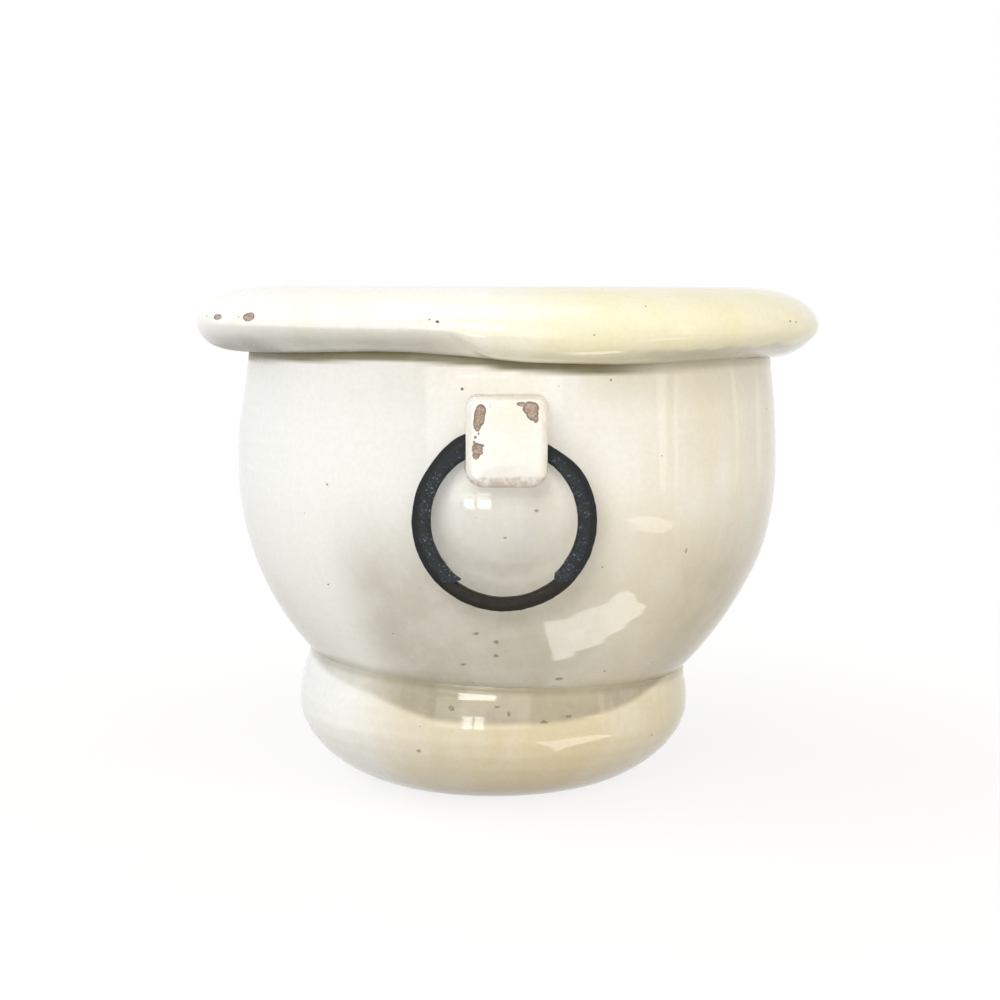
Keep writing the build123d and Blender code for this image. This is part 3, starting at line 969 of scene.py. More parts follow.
def make_rim(clay, hand, material):
    """The fat rolled rim, pressed up at the left, folded in the middle and lumpy at the right."""
    neck_radius = clay.bowl_radius - clay.neck_inset
    neck, tip_height, crown = rim_low.z, rim_low.z + clay.rim_tip_rise, rim_high.z
    crown_radius = neck_radius - clay.rim_crown_inset
    lip_radius, lip_height = crown_radius - clay.rim_lip_width, crown - clay.rim_lip_drop
    inner_neck = neck_radius - clay.bowl_wall
    bead = 1.1 * MM
    edge = np.array((neck_radius + 0.9 * MM, neck + 0.6 * bead))
    tip = (clay.rim_radius, tip_height)
    underside = quarter(edge + (bead, -0.6 * bead), (clay.rim_radius, neck), tip, 0.3, RIM_UNDER_ROWS)
    top = quarter(tip, (clay.rim_radius, crown), (crown_radius, crown), 0.55, RIM_TOP_ROWS)
    inner_edge = quarter((crown_radius, crown), (lip_radius, crown), (lip_radius, lip_height), 0.55, 16)
    middle = (neck + lip_height) / 2
    handles = ((lip_radius, lip_height), (lip_radius, middle), (inner_neck, middle), (inner_neck, neck))
    inside = cubic(np.linspace(0.0, 1.0, 22)[:, None], *map(np.array, handles))
    curl = arc(edge + (0.0, 0.4 * bead), bead, math.pi, 1.5 * math.pi, 7)
    joint = line((inner_neck + 2.0 * MM, neck + 2.0 * MM), (neck_radius - 2.0 * MM, neck + 3.0 * MM), 4)
    profile = profile_of(underside, top, inner_edge, inside, joint, curl, underside[:1])
    piece, spots, rows = turned("rolled_rim", profile, hand, material, 12.0, 11.0, RIM_SEGMENTS)
    radius, turn = round_and_turn(spots)
    height = spots[:, 2]

    # Points where the profile closes hold the mean of its first and last row, and belong to the first
    lowest = height < neck + 0.05 * MM
    rows[lowest] *= radius[lowest] < edge[0] + 0.5 * bead
    rows = np.rint(rows).astype(int)
    last = len(profile) - 1
    at_curl = rows > last - RIM_CURL_ROWS
    under = rows < RIM_UNDER_ROWS
    above_tip = ~under & (rows < RIM_UNDER_ROWS + RIM_TOP_ROWS)

    steps = np.arange(-180.0, 180.0, 0.5)
    lift, drop = (np.interp(turn, steps, eased(values, 12), period=360.0) for values in rim_pressing(hand, steps))
    t = np.where(under, rows / (RIM_UNDER_ROWS - 1.0), 0.0)
    start = columns(underside[0, 0], underside[0, 1] + lift)
    end = columns(clay.rim_radius, tip_height + drop)
    corner = columns(end[:, 0], start[:, 1])
    pressed = bent(t[:, None], start, corner, end, rim_fullness(hand, turn, t)[:, None])
    wander = radius - profile[np.minimum(rows, last), 0]
    slide = drop * fall(height, tip_height, crown - 2.0 * MM) * above_tip
    new_radius = np.where(under, pressed[:, 0] + np.minimum(wander, 0.0), radius)
    new_height = np.where(under, pressed[:, 1], height + slide + lift * at_curl)

    lumps = noise_at(spots, 42.0) + 0.5 * noise_at(spots, 95.0, 9.0)
    face = np.where(under, smooth_step(t, 0.02, 0.35), fall(height, crown - 16 * MM, crown - 4 * MM) * above_tip)
    ripe = 0.35 + 0.65 * span(turn, -8.0, 6.0, 75.0, 95.0)
    new_radius += hand.rim_lumps * ripe * face * np.minimum(lumps - 0.35, 0.0)
    new_radius = np.minimum(new_radius, clay.rim_radius)
    ratio = new_radius / radius
    spots = columns(spots[:, 0] * ratio, spots[:, 1] * ratio, new_height)
    pull = chip_amount(spots, RIM_CHIPS) * hand.chip_depth / np.maximum(new_radius, 1 * MM)
    spots[:, :2] *= (1.0 - pull)[:, None]
    move_to(piece.data, spots)

    # Painted shade on the rim's underside: at the left, darkest near the tip, and at the right below a wavy edge
    tip_end = span(turn, -112.0, -92.0, -56.0, -42.0)
    shaded = span(turn, -112.0, -92.0, -15.0, -5.0) * (0.62 + 0.38 * tip_end)
    shaded *= np.maximum(smooth_step(t, 0.04, 0.2), tip_end) * fall(t, 0.45, 0.85)
    shaded += 0.62 * span(turn, 0.0, 40.0, 95.0, 110.0) * fall(t + 0.16 * lumps, 0.5, 0.64)
    paint_on(
        piece.data,
        # More yellow at the right: partly thin glaze and partly painted warm light
        thin=0.8 * span(turn, -12.0, 18.0, 80.0, 120.0),
        pooled=under * shaded,
        # Dust with painted shade under the left tip and in the curl against the neck
        crease=np.maximum(0.6 * under * tip_end * fall(t, 0.3, 0.72), 0.8 * at_curl * (rows < last - 2)),
    )
    return piece


def make_foot(clay, hand, material):
    """The hollow bun foot, cut off where the bowl sits in it."""
    widest, _, _ = bowl_heights(clay)
    side = clay.foot_radius - clay.foot_wall
    shoulder = (clay.foot_radius - clay.foot_shoulder, clay.foot_widest)
    base, inner = clay.foot_base_radius, clay.foot_base_radius - clay.foot_land
    start = (side, 60.0 * MM)
    hollow = line(start, (side, clay.foot_widest), 8), line((side, clay.foot_widest), (inner, 1.0 * MM), 22)
    land = line((inner + 1.0 * MM, 0.0), (base, 0.0), 6)
    bulge = (clay.foot_radius, clay.foot_widest)
    undercut = quarter((base + 1.0 * MM, 0.5 * MM), (clay.foot_radius, 0.0), bulge, 0.47, 44)
    rounded = arc(shoulder, clay.foot_shoulder, 0.0, math.radians(31.0), 44)
    profile = profile_of(*hollow, land, undercut, rounded, line(rounded[-1], start, 4))
    piece, spots, rows = turned("bun_foot", profile, hand, material, 15.0, 23.0, FOOT_SEGMENTS)
    radius, turn = round_and_turn(spots)
    outer = (rows > FOOT_HOLLOW_ROWS) & (rows < len(profile) - FOOT_TOP_ROWS)
    spots[:, :2] *= np.minimum(clay.foot_radius / np.maximum(radius, 1 * MM), 1.0)[:, None]
    spots[:, 2] = np.maximum(spots[:, 2], 0.0)
    spots[:, 0] += clay.foot_shift

    away = np.linalg.norm(spots - np.array((0.0, 0.0, widest)), axis=1) - clay.bowl_radius
    flare = fall(away, 0.0, 4.0 * MM) * (away > -1.0 * MM) * outer
    way = spots - np.array((clay.foot_shift, 0.0, clay.foot_widest))
    way /= np.linalg.norm(way, axis=1)[:, None]
    spots += way * (0.8 * MM * flare**2)[:, None]
    deep = clay.bowl_radius - 4.0 * MM  # how far the foot reaches into the bowl's wall
    across = np.hypot(spots[:, 0], spots[:, 1])
    seat = widest - np.sqrt(np.maximum(deep**2 - across**2, 0.0))
    spots[:, 2] = np.minimum(spots[:, 2], seat)
    move_to(piece.data, spots)

    height = spots[:, 2]
    # Painted shadow of the bowl on the foot's shoulder, from the crease down to a curved edge, lowest at the front
    # and narrow at the sides
    edge = np.interp(
        turn, (-70, -37, -25, -15, -5, 15, 25, 42, 58, 75), (18, 10.2, 4.9, 1.1, 0, 0, 1.1, 5.4, 12.7, 18)
    )
    edge = (46.7 + edge + 0.6 * noise_at(spots, 40.0)) * MM
    middle = 0.55 * smooth_step(turn, -80.0, -60.0) + 0.45 * smooth_step(turn, -40.0, -22.0)
    # Cream share, partly thin glaze and partly painted light: whiter at the left where strong light falls
    thin = (0.82 - 0.28 * smooth_step(turn, 16.0, 44.0)) * span(turn, -42.0, -16.0, 110.0, 150.0)
    paint_on(
        piece.data,
        # Dust with painted shade where the foot meets the bowl
        crease=0.35 * outer * fall(away, 0.5 * MM, 4.0 * MM),
        pooled=outer * middle * smooth_step(height - edge, -2.0 * MM, 1.6 * MM),
        thin=thin - 0.2 * fall(turn, -50.0, -30.0),
        worn=np.maximum(outer * hump(height, 2.0 * MM, 5.0 * MM), height < 0.6 * MM),
    )
    return piece


def lug_outline(half_width, half_height, top_corner, bottom_corner):
    """Points round the lug's front, from its middle, and the outward direction at each."""
    corners = (
        (1, 1, top_corner, 0), (-1, 1, top_corner, 90),
        (-1, -1, bottom_corner, 180), (1, -1, bottom_corner, 270),
    )
    points, outward = [], []
    for side, up, radius, start in corners:
        centre = np.array((side * (half_width - radius), up * (half_height - radius)))
        for turn in np.radians(start + np.linspace(0.0, 90.0, max(8, round(radius * 1.57 / LUG_STEP)))):
            way = np.array((math.cos(turn), math.sin(turn)))
            points.append(centre + way * radius)
            outward.append(way)
    full_points, full_outward = [], []
    for here, way, there in zip(points, outward, points[1:] + points[:1]):
        count = max(1, round(np.linalg.norm(there - here) / LUG_STEP))
        for part in range(count):
            full_points.append(here + (there - here) * part / count)
            full_outward.append(way)
    return np.array(full_points), np.array(full_outward)


def bore_lug(piece, clay, depth, reach):
    """Cuts the cross hole for the ring, with its middle at a depth along Y."""
    radius = clay.hole_radius
    bore = bmesh.new()
    bmesh.ops.create_cone(bore, cap_ends=True, segments=HOLE_SEGMENTS, radius1=radius, radius2=radius, depth=reach)
    place = Matrix.Translation((0.0, depth, hinge_z)) @ Matrix.Rotation(math.pi / 2, 4, "Y")
    bmesh.ops.transform(bore, matrix=place, verts=bore.verts)
    mesh = mesh_from("lug_bore", bore)
    cutter = add_piece("lug_bore", mesh)
    modifier = piece.modifiers.new("Cross hole", "BOOLEAN")
    modifier.object, modifier.operation, modifier.solver = cutter, "DIFFERENCE", "EXACT"
    made_plain(piece)
    bpy.data.objects.remove(cutter)
    bpy.data.meshes.remove(mesh)


def make_lug(name, side, clay, hand, material):
    """A pillow of clay pressed on the wall, made at the front and then turned to its side."""
    half_width, half_height = lug_high.x, (lug_high.z - lug_low.z) / 2 - 0.6 * MM
    middle = (lug_high.z + lug_low.z) / 2 - 1.5 * MM
    front, sag, buried = -lug_low.y, 0.8 * MM, 3.0 * MM
    face_edge = front - sag
    outline, outward = lug_outline(half_width, half_height, clay.lug_top_corner, clay.lug_bottom_corner)
    count = len(outline)
    inner = outline - outward * clay.lug_edge
    skirt = clay.lug_skirt

    def wall_depth(flat):
        return np.sqrt(wall_radius(clay, flat[:, 1] + middle) ** 2 - flat[:, 0] ** 2)

    layers = []
    for part in np.linspace(0.0, 1.0, 40)[1:]:
        layers.append((inner * part, front - sag * part**3))
    for turn in np.linspace(0.0, math.pi / 2, 12)[1:]:
        flat = inner + outward * clay.lug_edge * math.sin(turn)
        layers.append((flat, face_edge - clay.lug_edge * (1.0 - math.cos(turn))))
    shoulder = wall_depth(outline) + skirt
    for part in np.linspace(0.0, 1.0, 16)[1:]:
        layers.append((outline, (face_edge - clay.lug_edge) * (1.0 - part) + shoulder * part))
    for turn in np.linspace(0.0, math.pi / 2, 8)[1:]:
        flat = outline + outward * skirt * (1.0 - math.cos(turn))
        layers.append((flat, wall_depth(flat) + skirt * (1.0 - math.sin(turn))))
    flat = outline + outward * skirt
    layers.append((flat, wall_depth(flat) - buried))
    spots = [np.array(((0.0, -front, middle),))]
    spots += [columns(flat[:, 0], -depth, flat[:, 1] + middle) for flat, depth in layers]
    spots.append(np.array(((0.0, -wall_depth(np.zeros((1, 2)))[0] + buried, middle),)))
    spots = np.concatenate(spots)
    tail = len(spots) - 1
    rings = [[1 + row * count + c % count for c in range(count + 1)] for row in range(len(layers))]
    faces = [(0, c, d) for c, d in zip(rings[0], rings[0][1:])]
    for ring, following in zip(rings, rings[1:]):
        faces += strip(ring, following)
    faces += [(tail, d, c) for c, d in zip(rings[-1], rings[-1][1:])]

    free = smooth_step(-spots[:, 1], front - 20.0 * MM, front - 8.0 * MM)
    wander = noise_at(spots, 55.0, 3.0 if side == "front" else 8.0)
    spots[:, 0] += 0.3 * MM * wander * free * (np.abs(spots[:, 0]) < half_width - 1.0 * MM)
    spots[:, 1] += 0.35 * MM * (1.0 + wander) / 2.0 * free
    spots[:, 0] += clay.lug_shift
    turned_by = Matrix.Rotation(SIDES[side], 4, "Z")
    spots = np.array([turned_by @ Vector(spot) for spot in spots])
    outwards = -1.0 if side == "front" else 1.0
    on_face = np.abs(spots[:, 1]) > front - 4.5 * MM
    spots[:, 1] -= outwards * hand.chip_depth * chip_amount(spots, LUG_CHIPS[side]) * on_face
    piece = add_piece(name, solid_mesh(name, spots, faces), material)
    bore_lug(piece, clay, outwards * -hinge_y, 4 * half_width)
    mesh = piece.data
    smooth_to(mesh, SHARP_CLAY)

    spots = spots_of(mesh)
    depth, height = np.abs(spots[:, 1]), spots[:, 2]
    # Wear with painted shade: the lug's lower bevel greyer, and a faint painted shade line where the front's rounding
    # begins
    waver = 1.1 * MM * noise_at(spots, 170.0, 5.0)
    low = smooth_step(middle - height + waver, half_height - 5.8 * MM, half_height - 4.0 * MM)
    behind = face_edge - depth
    rubbed = 0.3 * span(behind, 0.1 * MM, 0.9 * MM, 1.4 * MM, 2.8 * MM)
    wall = np.sqrt(np.maximum(wall_radius(clay, height) ** 2 - spots[:, 0] ** 2, 0.0))
    at_wall = 0.35 * fall(depth - wall, 0.0, 2.0 * MM) * (height < middle)
    bored = np.hypot(depth - abs(hinge_y), height - hinge_z) < clay.hole_radius + 0.02 * MM
    paint_on(
        mesh,
        worn=np.maximum(low * fall(behind, 3.4 * MM, 4.6 * MM), rubbed),
        # Dust with painted shade at the wall below the lug and inside its hole
        crease=np.maximum(at_wall, 0.4 * bored),
    )
    return piece


def bar_section(ring, width, bevel_width, bevel_drop, drop):
    """Section of the bar as (outwards, backwards) from the middle of the bow's bar.

    The points go from the middle of the inner edge over the front to the middle of the outer edge, and
    back over the rear. Returns them and how many lie on the front."""
    half, outer, corner = ring.thickness / 2, ring.bow_width / 2, ring.corner
    inner, front = outer - width, -half + drop
    bevel, edge = (outer - bevel_width, front), (outer, front + bevel_drop)
    front_side = profile_of(
        line((inner, 0.0), (inner, front + corner), 5),
        arc((inner + corner, front + corner), corner, math.pi, 1.5 * math.pi, 6),
        line((inner + corner, front), bevel, 10),
        quarter(bevel, (outer - 0.55 * bevel_width, front + 0.12 * bevel_drop), edge, 0.6, 9),
        line(edge, (outer, 0.0), 4),
    )
    back_side = profile_of(
        line((outer, 0.0), (outer, half - corner), 5),
        arc((outer - corner, half - corner), corner, 0.0, 0.5 * math.pi, 6),
        line((outer - corner, half), (inner + corner, half), 8),
        arc((inner + corner, half - corner), corner, 0.5 * math.pi, math.pi, 6),
        line((inner, half - corner), (inner, 0.0), 5),
    )
    return np.concatenate((front_side, back_side[1:-1])), len(front_side)


def lap_seam(ring, outwards, side):
    """Angle from the ring's lowest point at which the bow's face ends over the link, in degrees."""
    place = np.clip((outwards + ring.bow_width / 2) / ring.bow_width, 0.0, 1.0)
    ragged = np.array([noise.noise(Vector((5.0 * p, 3.7 if side == "left" else 8.1, 0.0))) for p in place])
    if side == "left":
        return 35.6 + 13.0 * place**1.3 + 1.6 * ragged
    outer, inner = np.maximum(place - 0.45, 0.0) / 0.55, np.maximum(0.18 - place, 0.0) / 0.18
    return 40.4 + 10.0 * outer + 3.0 * inner + 1.4 * ragged


def bar_mesh(name, ring, section, front_count, begin, end, tongue, tongue_begin, tongue_end):
    """Bar round the ring with a tongue of half its thickness at both ends.

    Angles are in degrees from the ring's lowest point, positive to the left, one for each section point."""
    count = len(section)
    rounds = int(np.max(end - begin) / BAR_STEP_DEGREES)
    laps = max(4, int(np.max(np.abs(tongue_end - end)) / BAR_STEP_DEGREES))
    radius = ring.outer_radius - ring.bow_width / 2
    centre = np.array((0.0, hinge_y, link_low.z + ring.outer_radius))

    def spots_at(turns, points):
        turns, far = np.radians(turns), radius + points[:, 0]
        return centre + columns(-far * np.sin(turns), points[:, 1], -far * np.cos(turns))

    spots = [spots_at(begin + (end - begin) * part, section) for part in np.linspace(0.0, 1.0, rounds)]
    loops = [[row * count + c % count for c in range(count + 1)] for row in range(rounds)]
    faces = []
    for loop, following in zip(loops, loops[1:]):
        faces += strip(loop, following)
    front = list(range(front_count))
    rear = list(range(front_count - 1, count)) + [0]
    long_side, short_side = (front, rear) if tongue == "front" else (rear, front)
    made = rounds * count
    for first, from_turn, to_turn in ((0, begin, tongue_begin), ((rounds - 1) * count, end, tongue_end)):
        faces.append([first + c for c in short_side])
        previous = [first + c for c in long_side]
        for part in np.linspace(0.0, 1.0, laps)[1:]:
            turns = (from_turn + (to_turn - from_turn) * part)[long_side]
            spots.append(spots_at(turns, section[long_side]))
            current = list(range(made, made + len(long_side)))
            made += len(long_side)
            faces += strip(previous, current)
            faces.append((previous[0], current[0], current[-1], previous[-1]))
            previous = current
        faces.append(previous)

    spots = np.concatenate(spots)
    flat = spots - centre
    turns = np.arctan2(flat[:, 0], -flat[:, 2])
    away = columns(np.sin(turns), 0.0, -np.cos(turns))
    inward = centre + radius * away - spots
    inward /= np.maximum(np.linalg.norm(inward, axis=1), 1e-6)[:, None]
    outwards = np.hypot(flat[:, 0], flat[:, 2]) - radius
    marks = 0.6 * noise_at(spots, 110.0) + 0.5 * noise_at(spots, 330.0, 4.0)
    from_top = np.degrees(np.arctan2(flat[:, 0], flat[:, 2]))
    swell = hump(from_top, -27.0, 30.0) - 1.2 * hump(from_top, 30.0, 34.0)
    swell *= ring.swell * smooth_step(outwards, -ring.bow_width / 2, ring.bow_width / 2)
    spots += swell[:, None] * away
    spots[:, 0] += RING_WIDER * flat[:, 0]
    spots[:, 2] -= RING_SHORTER * np.minimum(flat[:, 2], 0.0)
    spots += inward * (ring.hammer * np.clip(0.45 + marks, 0.0, 1.0))[:, None]
    mesh = solid_mesh(name, spots, faces)
    smooth_to(mesh, SHARP_IRON)
    inner_face = smooth_step(ring.bow_width / 2 - ring.bevel_width - outwards, -1.7 * MM, 1.1 * MM)
    near_lap = hump(np.degrees(turns), 46.0, 12.0) + 0.5 * hump(np.degrees(turns), -41.0, 9.0)
    paint_on(mesh, scaly=0.66 + 0.32 * inner_face + 0.2 * near_lap)
    return mesh


def laps_of(ring, section):
    """Angles of the link's ends and of the bow's seams at the left and the right, for each section point."""
    even = np.ones(len(section))
    seams = [lap_seam(ring, section[:, 0], side) for side in ("left", "right")]
    return math.degrees(ring.left_lap) * even, math.degrees(ring.right_lap) * even, *seams


def make_bow(name, ring):
    """The C-shaped bow, whose face ends in a tongue over the link on both sides."""
    section, front_count = bar_section(ring, ring.bow_width, ring.bevel_width, ring.bevel_drop, 0.0)
    left, right, left_seam, right_seam = laps_of(ring, section)
    return bar_mesh(name, ring, section, front_count, left, 360.0 - right, "front", left_seam, 360.0 - right_seam)


def make_link(name, ring):
    """The closing link, which ends in a tongue behind the bow on both sides."""
    bevel_width, bevel_drop, gap = 0.8 * ring.bevel_width, 0.6 * ring.bevel_drop, 0.15
    section, front_count = bar_section(ring, ring.link_width, bevel_width, bevel_drop, ring.link_drop)
    left, right, left_seam, right_seam = laps_of(ring, section)
    return bar_mesh(name, ring, section, front_count, gap - right_seam, left_seam - gap, "rear", -right, left)


# Stage

AIM = (0.0, 0.0, 0.14)
COOL, PLAIN, WARM = (0.9, 0.95, 1.0), (1.0, 0.99, 0.972), (1.0, 0.95, 0.85)
WHITE, ROOM = (1.0, 1.0, 1.0), (1.0, 0.99, 0.975)
FLOOR_RADIUS, FLOOR_DROP = 0.8, 0.3 * MM
SENSOR_WIDTH = 36.0


def add_lamp(name, turn, rise, distance, size, power, tint, aim=AIM, hidden_from=()):
    """Soft rectangular lamp at an angle from the front, positive to the right, and a rise above the aim."""
    turn, rise = math.radians(turn), math.radians(rise)
    lamp = bpy.data.lights.new(name, "AREA")
    lamp.shape = "RECTANGLE"
    lamp.size, lamp.size_y = size
    lamp.energy = power
    lamp.color = tint
    piece = bpy.data.objects.new(name, lamp)
    back = Vector((math.sin(turn) * math.cos(rise), -math.cos(turn) * math.cos(rise), math.sin(rise)))
    piece.location = Vector(aim) + back * distance
    piece.rotation_euler = (Vector(aim) - piece.location).to_track_quat("-Z", "Y").to_euler()
    for rays in hidden_from:
        setattr(piece, "visible_" + rays, False)
    bpy.context.scene.collection.objects.link(piece)


def add_lamps(stage):
    add_lamp("key_lamp", -10.0, 21.0, 2.0, (0.7, 0.4), stage.key_power, PLAIN)
    add_lamp("front_window", -6.0, 7.0, 2.2, (2.2, 1.3), stage.front_power, PLAIN)
    add_lamp("left_window", -92.0, 26.0, 1.3, (1.3, 1.1), stage.left_power, COOL, hidden_from=("glossy",))
    for turn in (-13.9, -8.1):
        pane, low_aim = (0.055, 0.075), (0.0, 0.0, 0.1)
        add_lamp("low_window_pane", turn, -5.6, 0.71, pane, stage.low_power / 2, PLAIN, low_aim)
    add_lamp("top_lamp", -20.0, 74.0, 1.6, (1.2, 1.2), stage.top_power, PLAIN)
    add_lamp("right_window", 63.0, 13.0, 1.35, (0.6, 1.0), stage.right_power, WARM, hidden_from=("glossy",))
    for turn, width, portion in ((64.0, 0.1, 0.6), (71.0, 0.03, 0.2), (106.0, 0.08, 0.2), (127.0, 0.12, 0.12)):
        add_lamp("right_window_strip", turn, 12.0, 1.35, (width, 0.9), portion * stage.strip_power, WARM)
    for spot, size, portion in (((0.1, -0.138), (0.12, 0.055), 0.34), ((0.42, -0.3), (0.12, 0.16), 0.66)):
        power, above = portion * stage.pane_power, (*spot, 0.3)
        add_lamp("floor_pane", 0.0, -90.0, 0.296, size, power, PLAIN, above, ("camera", "diffuse"))


def seen_rays(t):
    """One for rays that see the background themselves, from the camera or by a reflection or through glass."""
    path = t.put("ShaderNodeLightPath").outputs
    seen = t.calc("MAXIMUM", path["Is Camera Ray"], path["Is Glossy Ray"])
    return t.calc("MAXIMUM", seen, path["Is Transmission Ray"])


def make_world(stage):
    world = bpy.data.worlds.new("pale_room")
    world.use_nodes = True
    world.node_tree.nodes.clear()
    t = Wiring(world.node_tree)
    room = t.out("ShaderNodeBackground", {"Color": ROOM, "Strength": stage.around})
    white = t.out("ShaderNodeBackground", {"Color": WHITE, "Strength": 1.0})
    both = t.out("ShaderNodeMixShader", {0: seen_rays(t), 1: room, 2: white})
    t.put("ShaderNodeOutputWorld", {"Surface": both})
    bpy.context.scene.world = world


def make_floor(stage):
    """Pale floor that takes the object's shadow and goes over into the white background."""
    shape = bmesh.new()
    bmesh.ops.create_circle(shape, cap_ends=True, segments=FLOOR_SEGMENTS, radius=FLOOR_RADIUS)
    material, t, place = blank_material("pale_floor")
    grain = t.ramp(t.speckle(place, 9.0, 3.0), 0.3, 0.7)
    matt = t.out("ShaderNodeBsdfDiffuse", {"Color": t.mixed(grain, stage.floor, darker(stage.floor, 0.97))})
    far = t.ramp(t.vector("LENGTH", place), 0.2, 0.7)
    white = t.out("ShaderNodeEmission", {"Color": WHITE, "Strength": t.times_plus(far, -0.3, 1.3)})
    cover = t.times(seen_rays(t), t.times_plus(far, 0.35, 0.65))
    both = t.out("ShaderNodeMixShader", {0: cover, 1: matt, 2: white})
    t.put("ShaderNodeOutputMaterial", {"Surface": both})
    floor = add_piece("pale_floor", mesh_from("pale_floor", shape), material)
    floor.location.z = -FLOOR_DROP


def make_camera(stage):
    camera = bpy.data.cameras.new("camera")
    camera.lens = stage.lens
    camera.sensor_width = SENSOR_WIDTH
    camera.shift_y = stage.drop
    piece = bpy.data.objects.new("camera", camera)
    piece.location = (stage.aside, -stage.distance, stage.height)
    look = Euler((math.pi / 2 - stage.tilt, 0.0, 0.0)).to_matrix() @ Matrix.Rotation(stage.roll, 3, "Z")
    piece.rotation_euler = look.to_euler()
    bpy.context.scene.collection.objects.link(piece)
    bpy.context.scene.camera = piece


def settings_of(context):
    """Settings for the clay, the hand's marks, the rings, the finishes and the stage."""
    return [getattr(context.scene, key) for key in GROUPS]


def settle(piece, body, slot, *nodes):
    """Fastens a finished piece to its body and lets it stand for its nodes of the frame."""
    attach(piece, body)
    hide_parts(*nodes)


class CACHEPOT_OT_bowl(Operator):
    """Throw the round bowl"""

    bl_idname = "cachepot.bowl"
    bl_label = "Throw the bowl"

    def execute(self, context):
        clay, hand, _, finish, _ = settings_of(context)
        material = glaze_material(
            "bowl_glaze", finish, finish.cream, finish.pooled, cream_share=0.04, patch_scale=9.0,
            pits=BOWL_PITS, specks=BOWL_SPECKS,
        )
        settle(make_bowl(clay, hand, material), "pot", "glaze", "bowl")
        return {"FINISHED"}


class CACHEPOT_OT_rim(Operator):
    """Roll the fat rim"""

    bl_idname = "cachepot.rim"
    bl_label = "Roll the rim"

    def execute(self, context):
        clay, hand, _, finish, _ = settings_of(context)
        material = glaze_material(
            "rim_glaze", finish, finish.butter, finish.shaded, cream_share=0.1, patch_scale=7.0,
            chips=RIM_CHIPS, specks=RIM_SPECKS,
        )
        settle(make_rim(clay, hand, material), "pot", "glaze", "rim")
        return {"FINISHED"}


class CACHEPOT_OT_foot(Operator):
    """Throw the bun-shaped foot"""

    bl_idname = "cachepot.foot"
    bl_label = "Throw the foot"

    def execute(self, context):
        clay, hand, _, finish, _ = settings_of(context)
        material = glaze_material(
            "foot_glaze", finish, finish.cream, finish.pooled, cream_share=0.08, patch_scale=11.0, pits=FOOT_PITS
        )
        settle(make_foot(clay, hand, material), "pot", "glaze", "foot_ring")
        return {"FINISHED"}


class CACHEPOT_OT_lugs(Operator):
    """Lute the two pillow-shaped lugs to the wall"""

    bl_idname = "cachepot.lugs"
    bl_label = "Lute the lugs"

    def execute(self, context):
        clay, hand, _, finish, _ = settings_of(context)
        for side in SIDES:
            material = glaze_material(
                side + "_lug_glaze", finish, finish.cream, finish.pooled, cream_share=0.16, patch_scale=26.0,
                chips=LUG_CHIPS[side],
            )
            piece = make_lug(side + "_pillow_lug", side, clay, hand, material)
            settle(piece, "pot", "glaze", side + "_lug")
        return {"FINISHED"}


class CACHEPOT_OT_rings(Operator):
    """Forge the two ring handles, each a bow and a lapped closing link"""

    bl_idname = "cachepot.rings"
    bl_label = "Forge the rings"

    def execute(self, context):
        _, _, ring, finish, _ = settings_of(context)
        parts = {
            "bow": (make_bow, iron_material("scaly_bow_iron", finish, finish.iron, scale_share=0.42)),
            "link": (make_link, iron_material("brown_link_iron", finish, finish.brown, scale_share=0.3)),
        }
        for side, turn in SIDES.items():
            for part, (maker, skin) in parts.items():
                name = side + "_forged_" + part
                mesh = maker(name, ring)
                mesh.transform(Matrix.Rotation(turn, 4, "Z") @ Matrix.Translation((ring.shift, 0.0, 0.0)))
                piece = add_piece(name, mesh, skin)
                settle(piece, side + "_ring", "iron", side + "_ring_" + part)
        return {"FINISHED"}


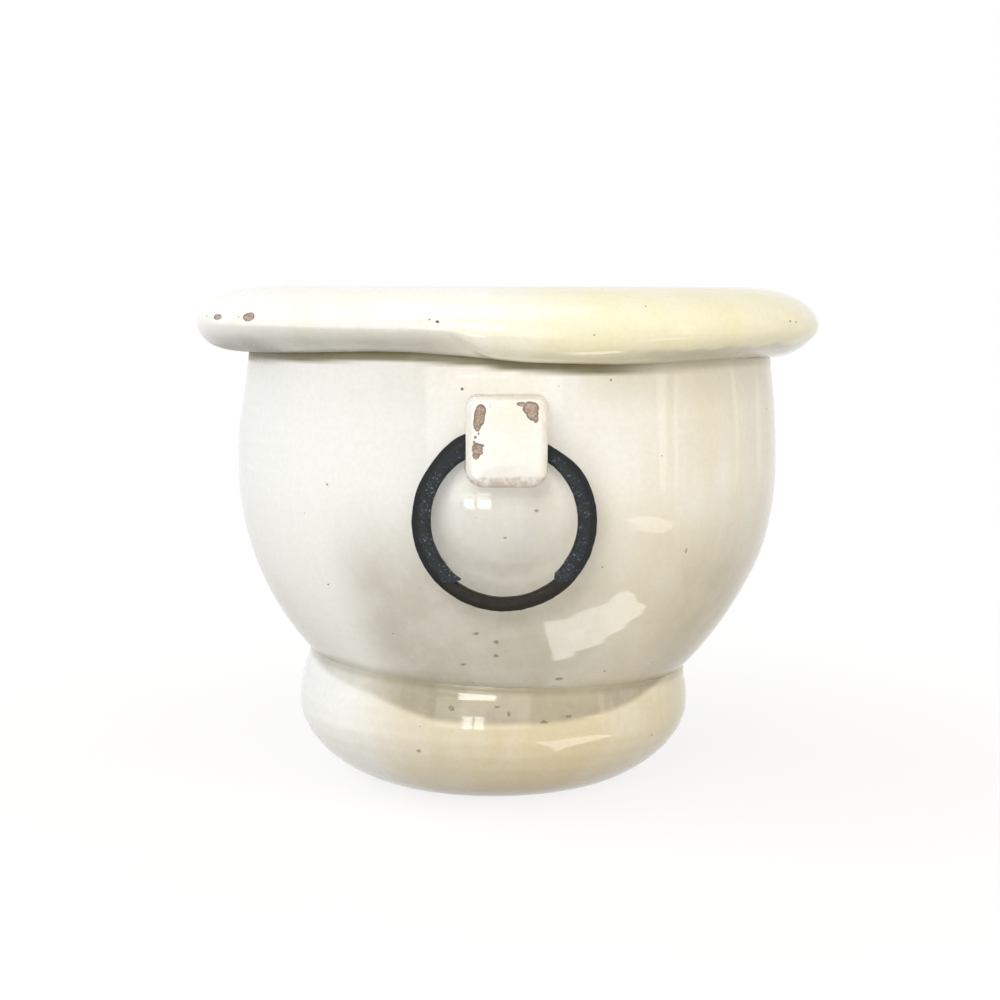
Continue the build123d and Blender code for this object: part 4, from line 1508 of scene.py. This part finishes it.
class CACHEPOT_OT_grit(Operator):
    """Scatter the burnt grit that shows through the glaze"""

    bl_idname = "cachepot.grit"
    bl_label = "Scatter the grit"

    def execute(self, context):
        _, hand, _, finish, _ = settings_of(context)
        shape = bmesh.new()
        for name in ("glazed_bowl", "bun_foot"):
            shape.from_mesh(bpy.data.objects[name].data)
        hidden = [face for face in shape.faces if not self.shows(face)]
        bmesh.ops.delete(shape, geom=hidden, context="FACES")
        piece = run_nodes(add_piece("burnt_grit", mesh_from("burnt_grit", shape)), once(kiln_grit), {
            "Density": hand.grit_density, "Smallest": 0.18 * MM, "Largest": 0.5 * MM,
            "Seed": hand.grit_seed, "Finish": grit_material(finish),
        })
        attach(piece, "pot")
        return {"FINISHED"}

    def shows(self, face):
        """True for glaze on the outer wall and the foot that can be seen."""
        spot, way = face.calc_center_median(), face.normal
        lowest, highest = 8 * MM, rim_low.z - 6 * MM
        outwards = spot.x * way.x + spot.y * way.y > 0.0
        return outwards and lowest < spot.z < highest


class CACHEPOT_OT_stage(Operator):
    """Set up the floor, the room, the lamps and the camera"""

    bl_idname = "cachepot.stage"
    bl_label = "Set the stage"

    def execute(self, context):
        stage = context.scene.cachepot_stage
        make_world(stage)
        make_floor(stage)
        make_camera(stage)
        add_lamps(stage)
        context.scene.view_settings.view_transform = "Standard"
        return {"FINISHED"}


OPERATORS = (
    CACHEPOT_OT_bowl, CACHEPOT_OT_rim, CACHEPOT_OT_foot, CACHEPOT_OT_lugs,
    CACHEPOT_OT_rings, CACHEPOT_OT_grit, CACHEPOT_OT_stage,
)


class CACHEPOT_PT_sidebar(Panel):
    """Lists the pieces of the cachepot with their sizes and colours"""

    bl_idname = "CACHEPOT_PT_sidebar"
    bl_label = "Cachepot"
    bl_space_type = "VIEW_3D"
    bl_region_type = "UI"
    bl_category = "Cachepot"

    def draw(self, context):
        for operator in OPERATORS:
            self.layout.operator(operator.bl_idname)
        for key, group in GROUPS.items():
            box = self.layout.box()
            box.label(text=group.__doc__)
            for word in group.__annotations__:
                box.prop(getattr(context.scene, key), word)


CLASSES = (*GROUPS.values(), *OPERATORS, CACHEPOT_PT_sidebar)


def register():
    for item in CLASSES:
        bpy.utils.register_class(item)
    for key, group in GROUPS.items():
        setattr(bpy.types.Scene, key, PointerProperty(type=group))


def unregister():
    for key in GROUPS:
        delattr(bpy.types.Scene, key)
    for item in reversed(CLASSES):
        bpy.utils.unregister_class(item)


def main():
    register()
    bpy.ops.cachepot.bowl()
    bpy.ops.cachepot.rim()
    bpy.ops.cachepot.foot()
    bpy.ops.cachepot.lugs()
    bpy.ops.cachepot.rings()
    bpy.ops.cachepot.grit()
    bpy.ops.cachepot.stage()


if __name__ == "__main__":
    main()
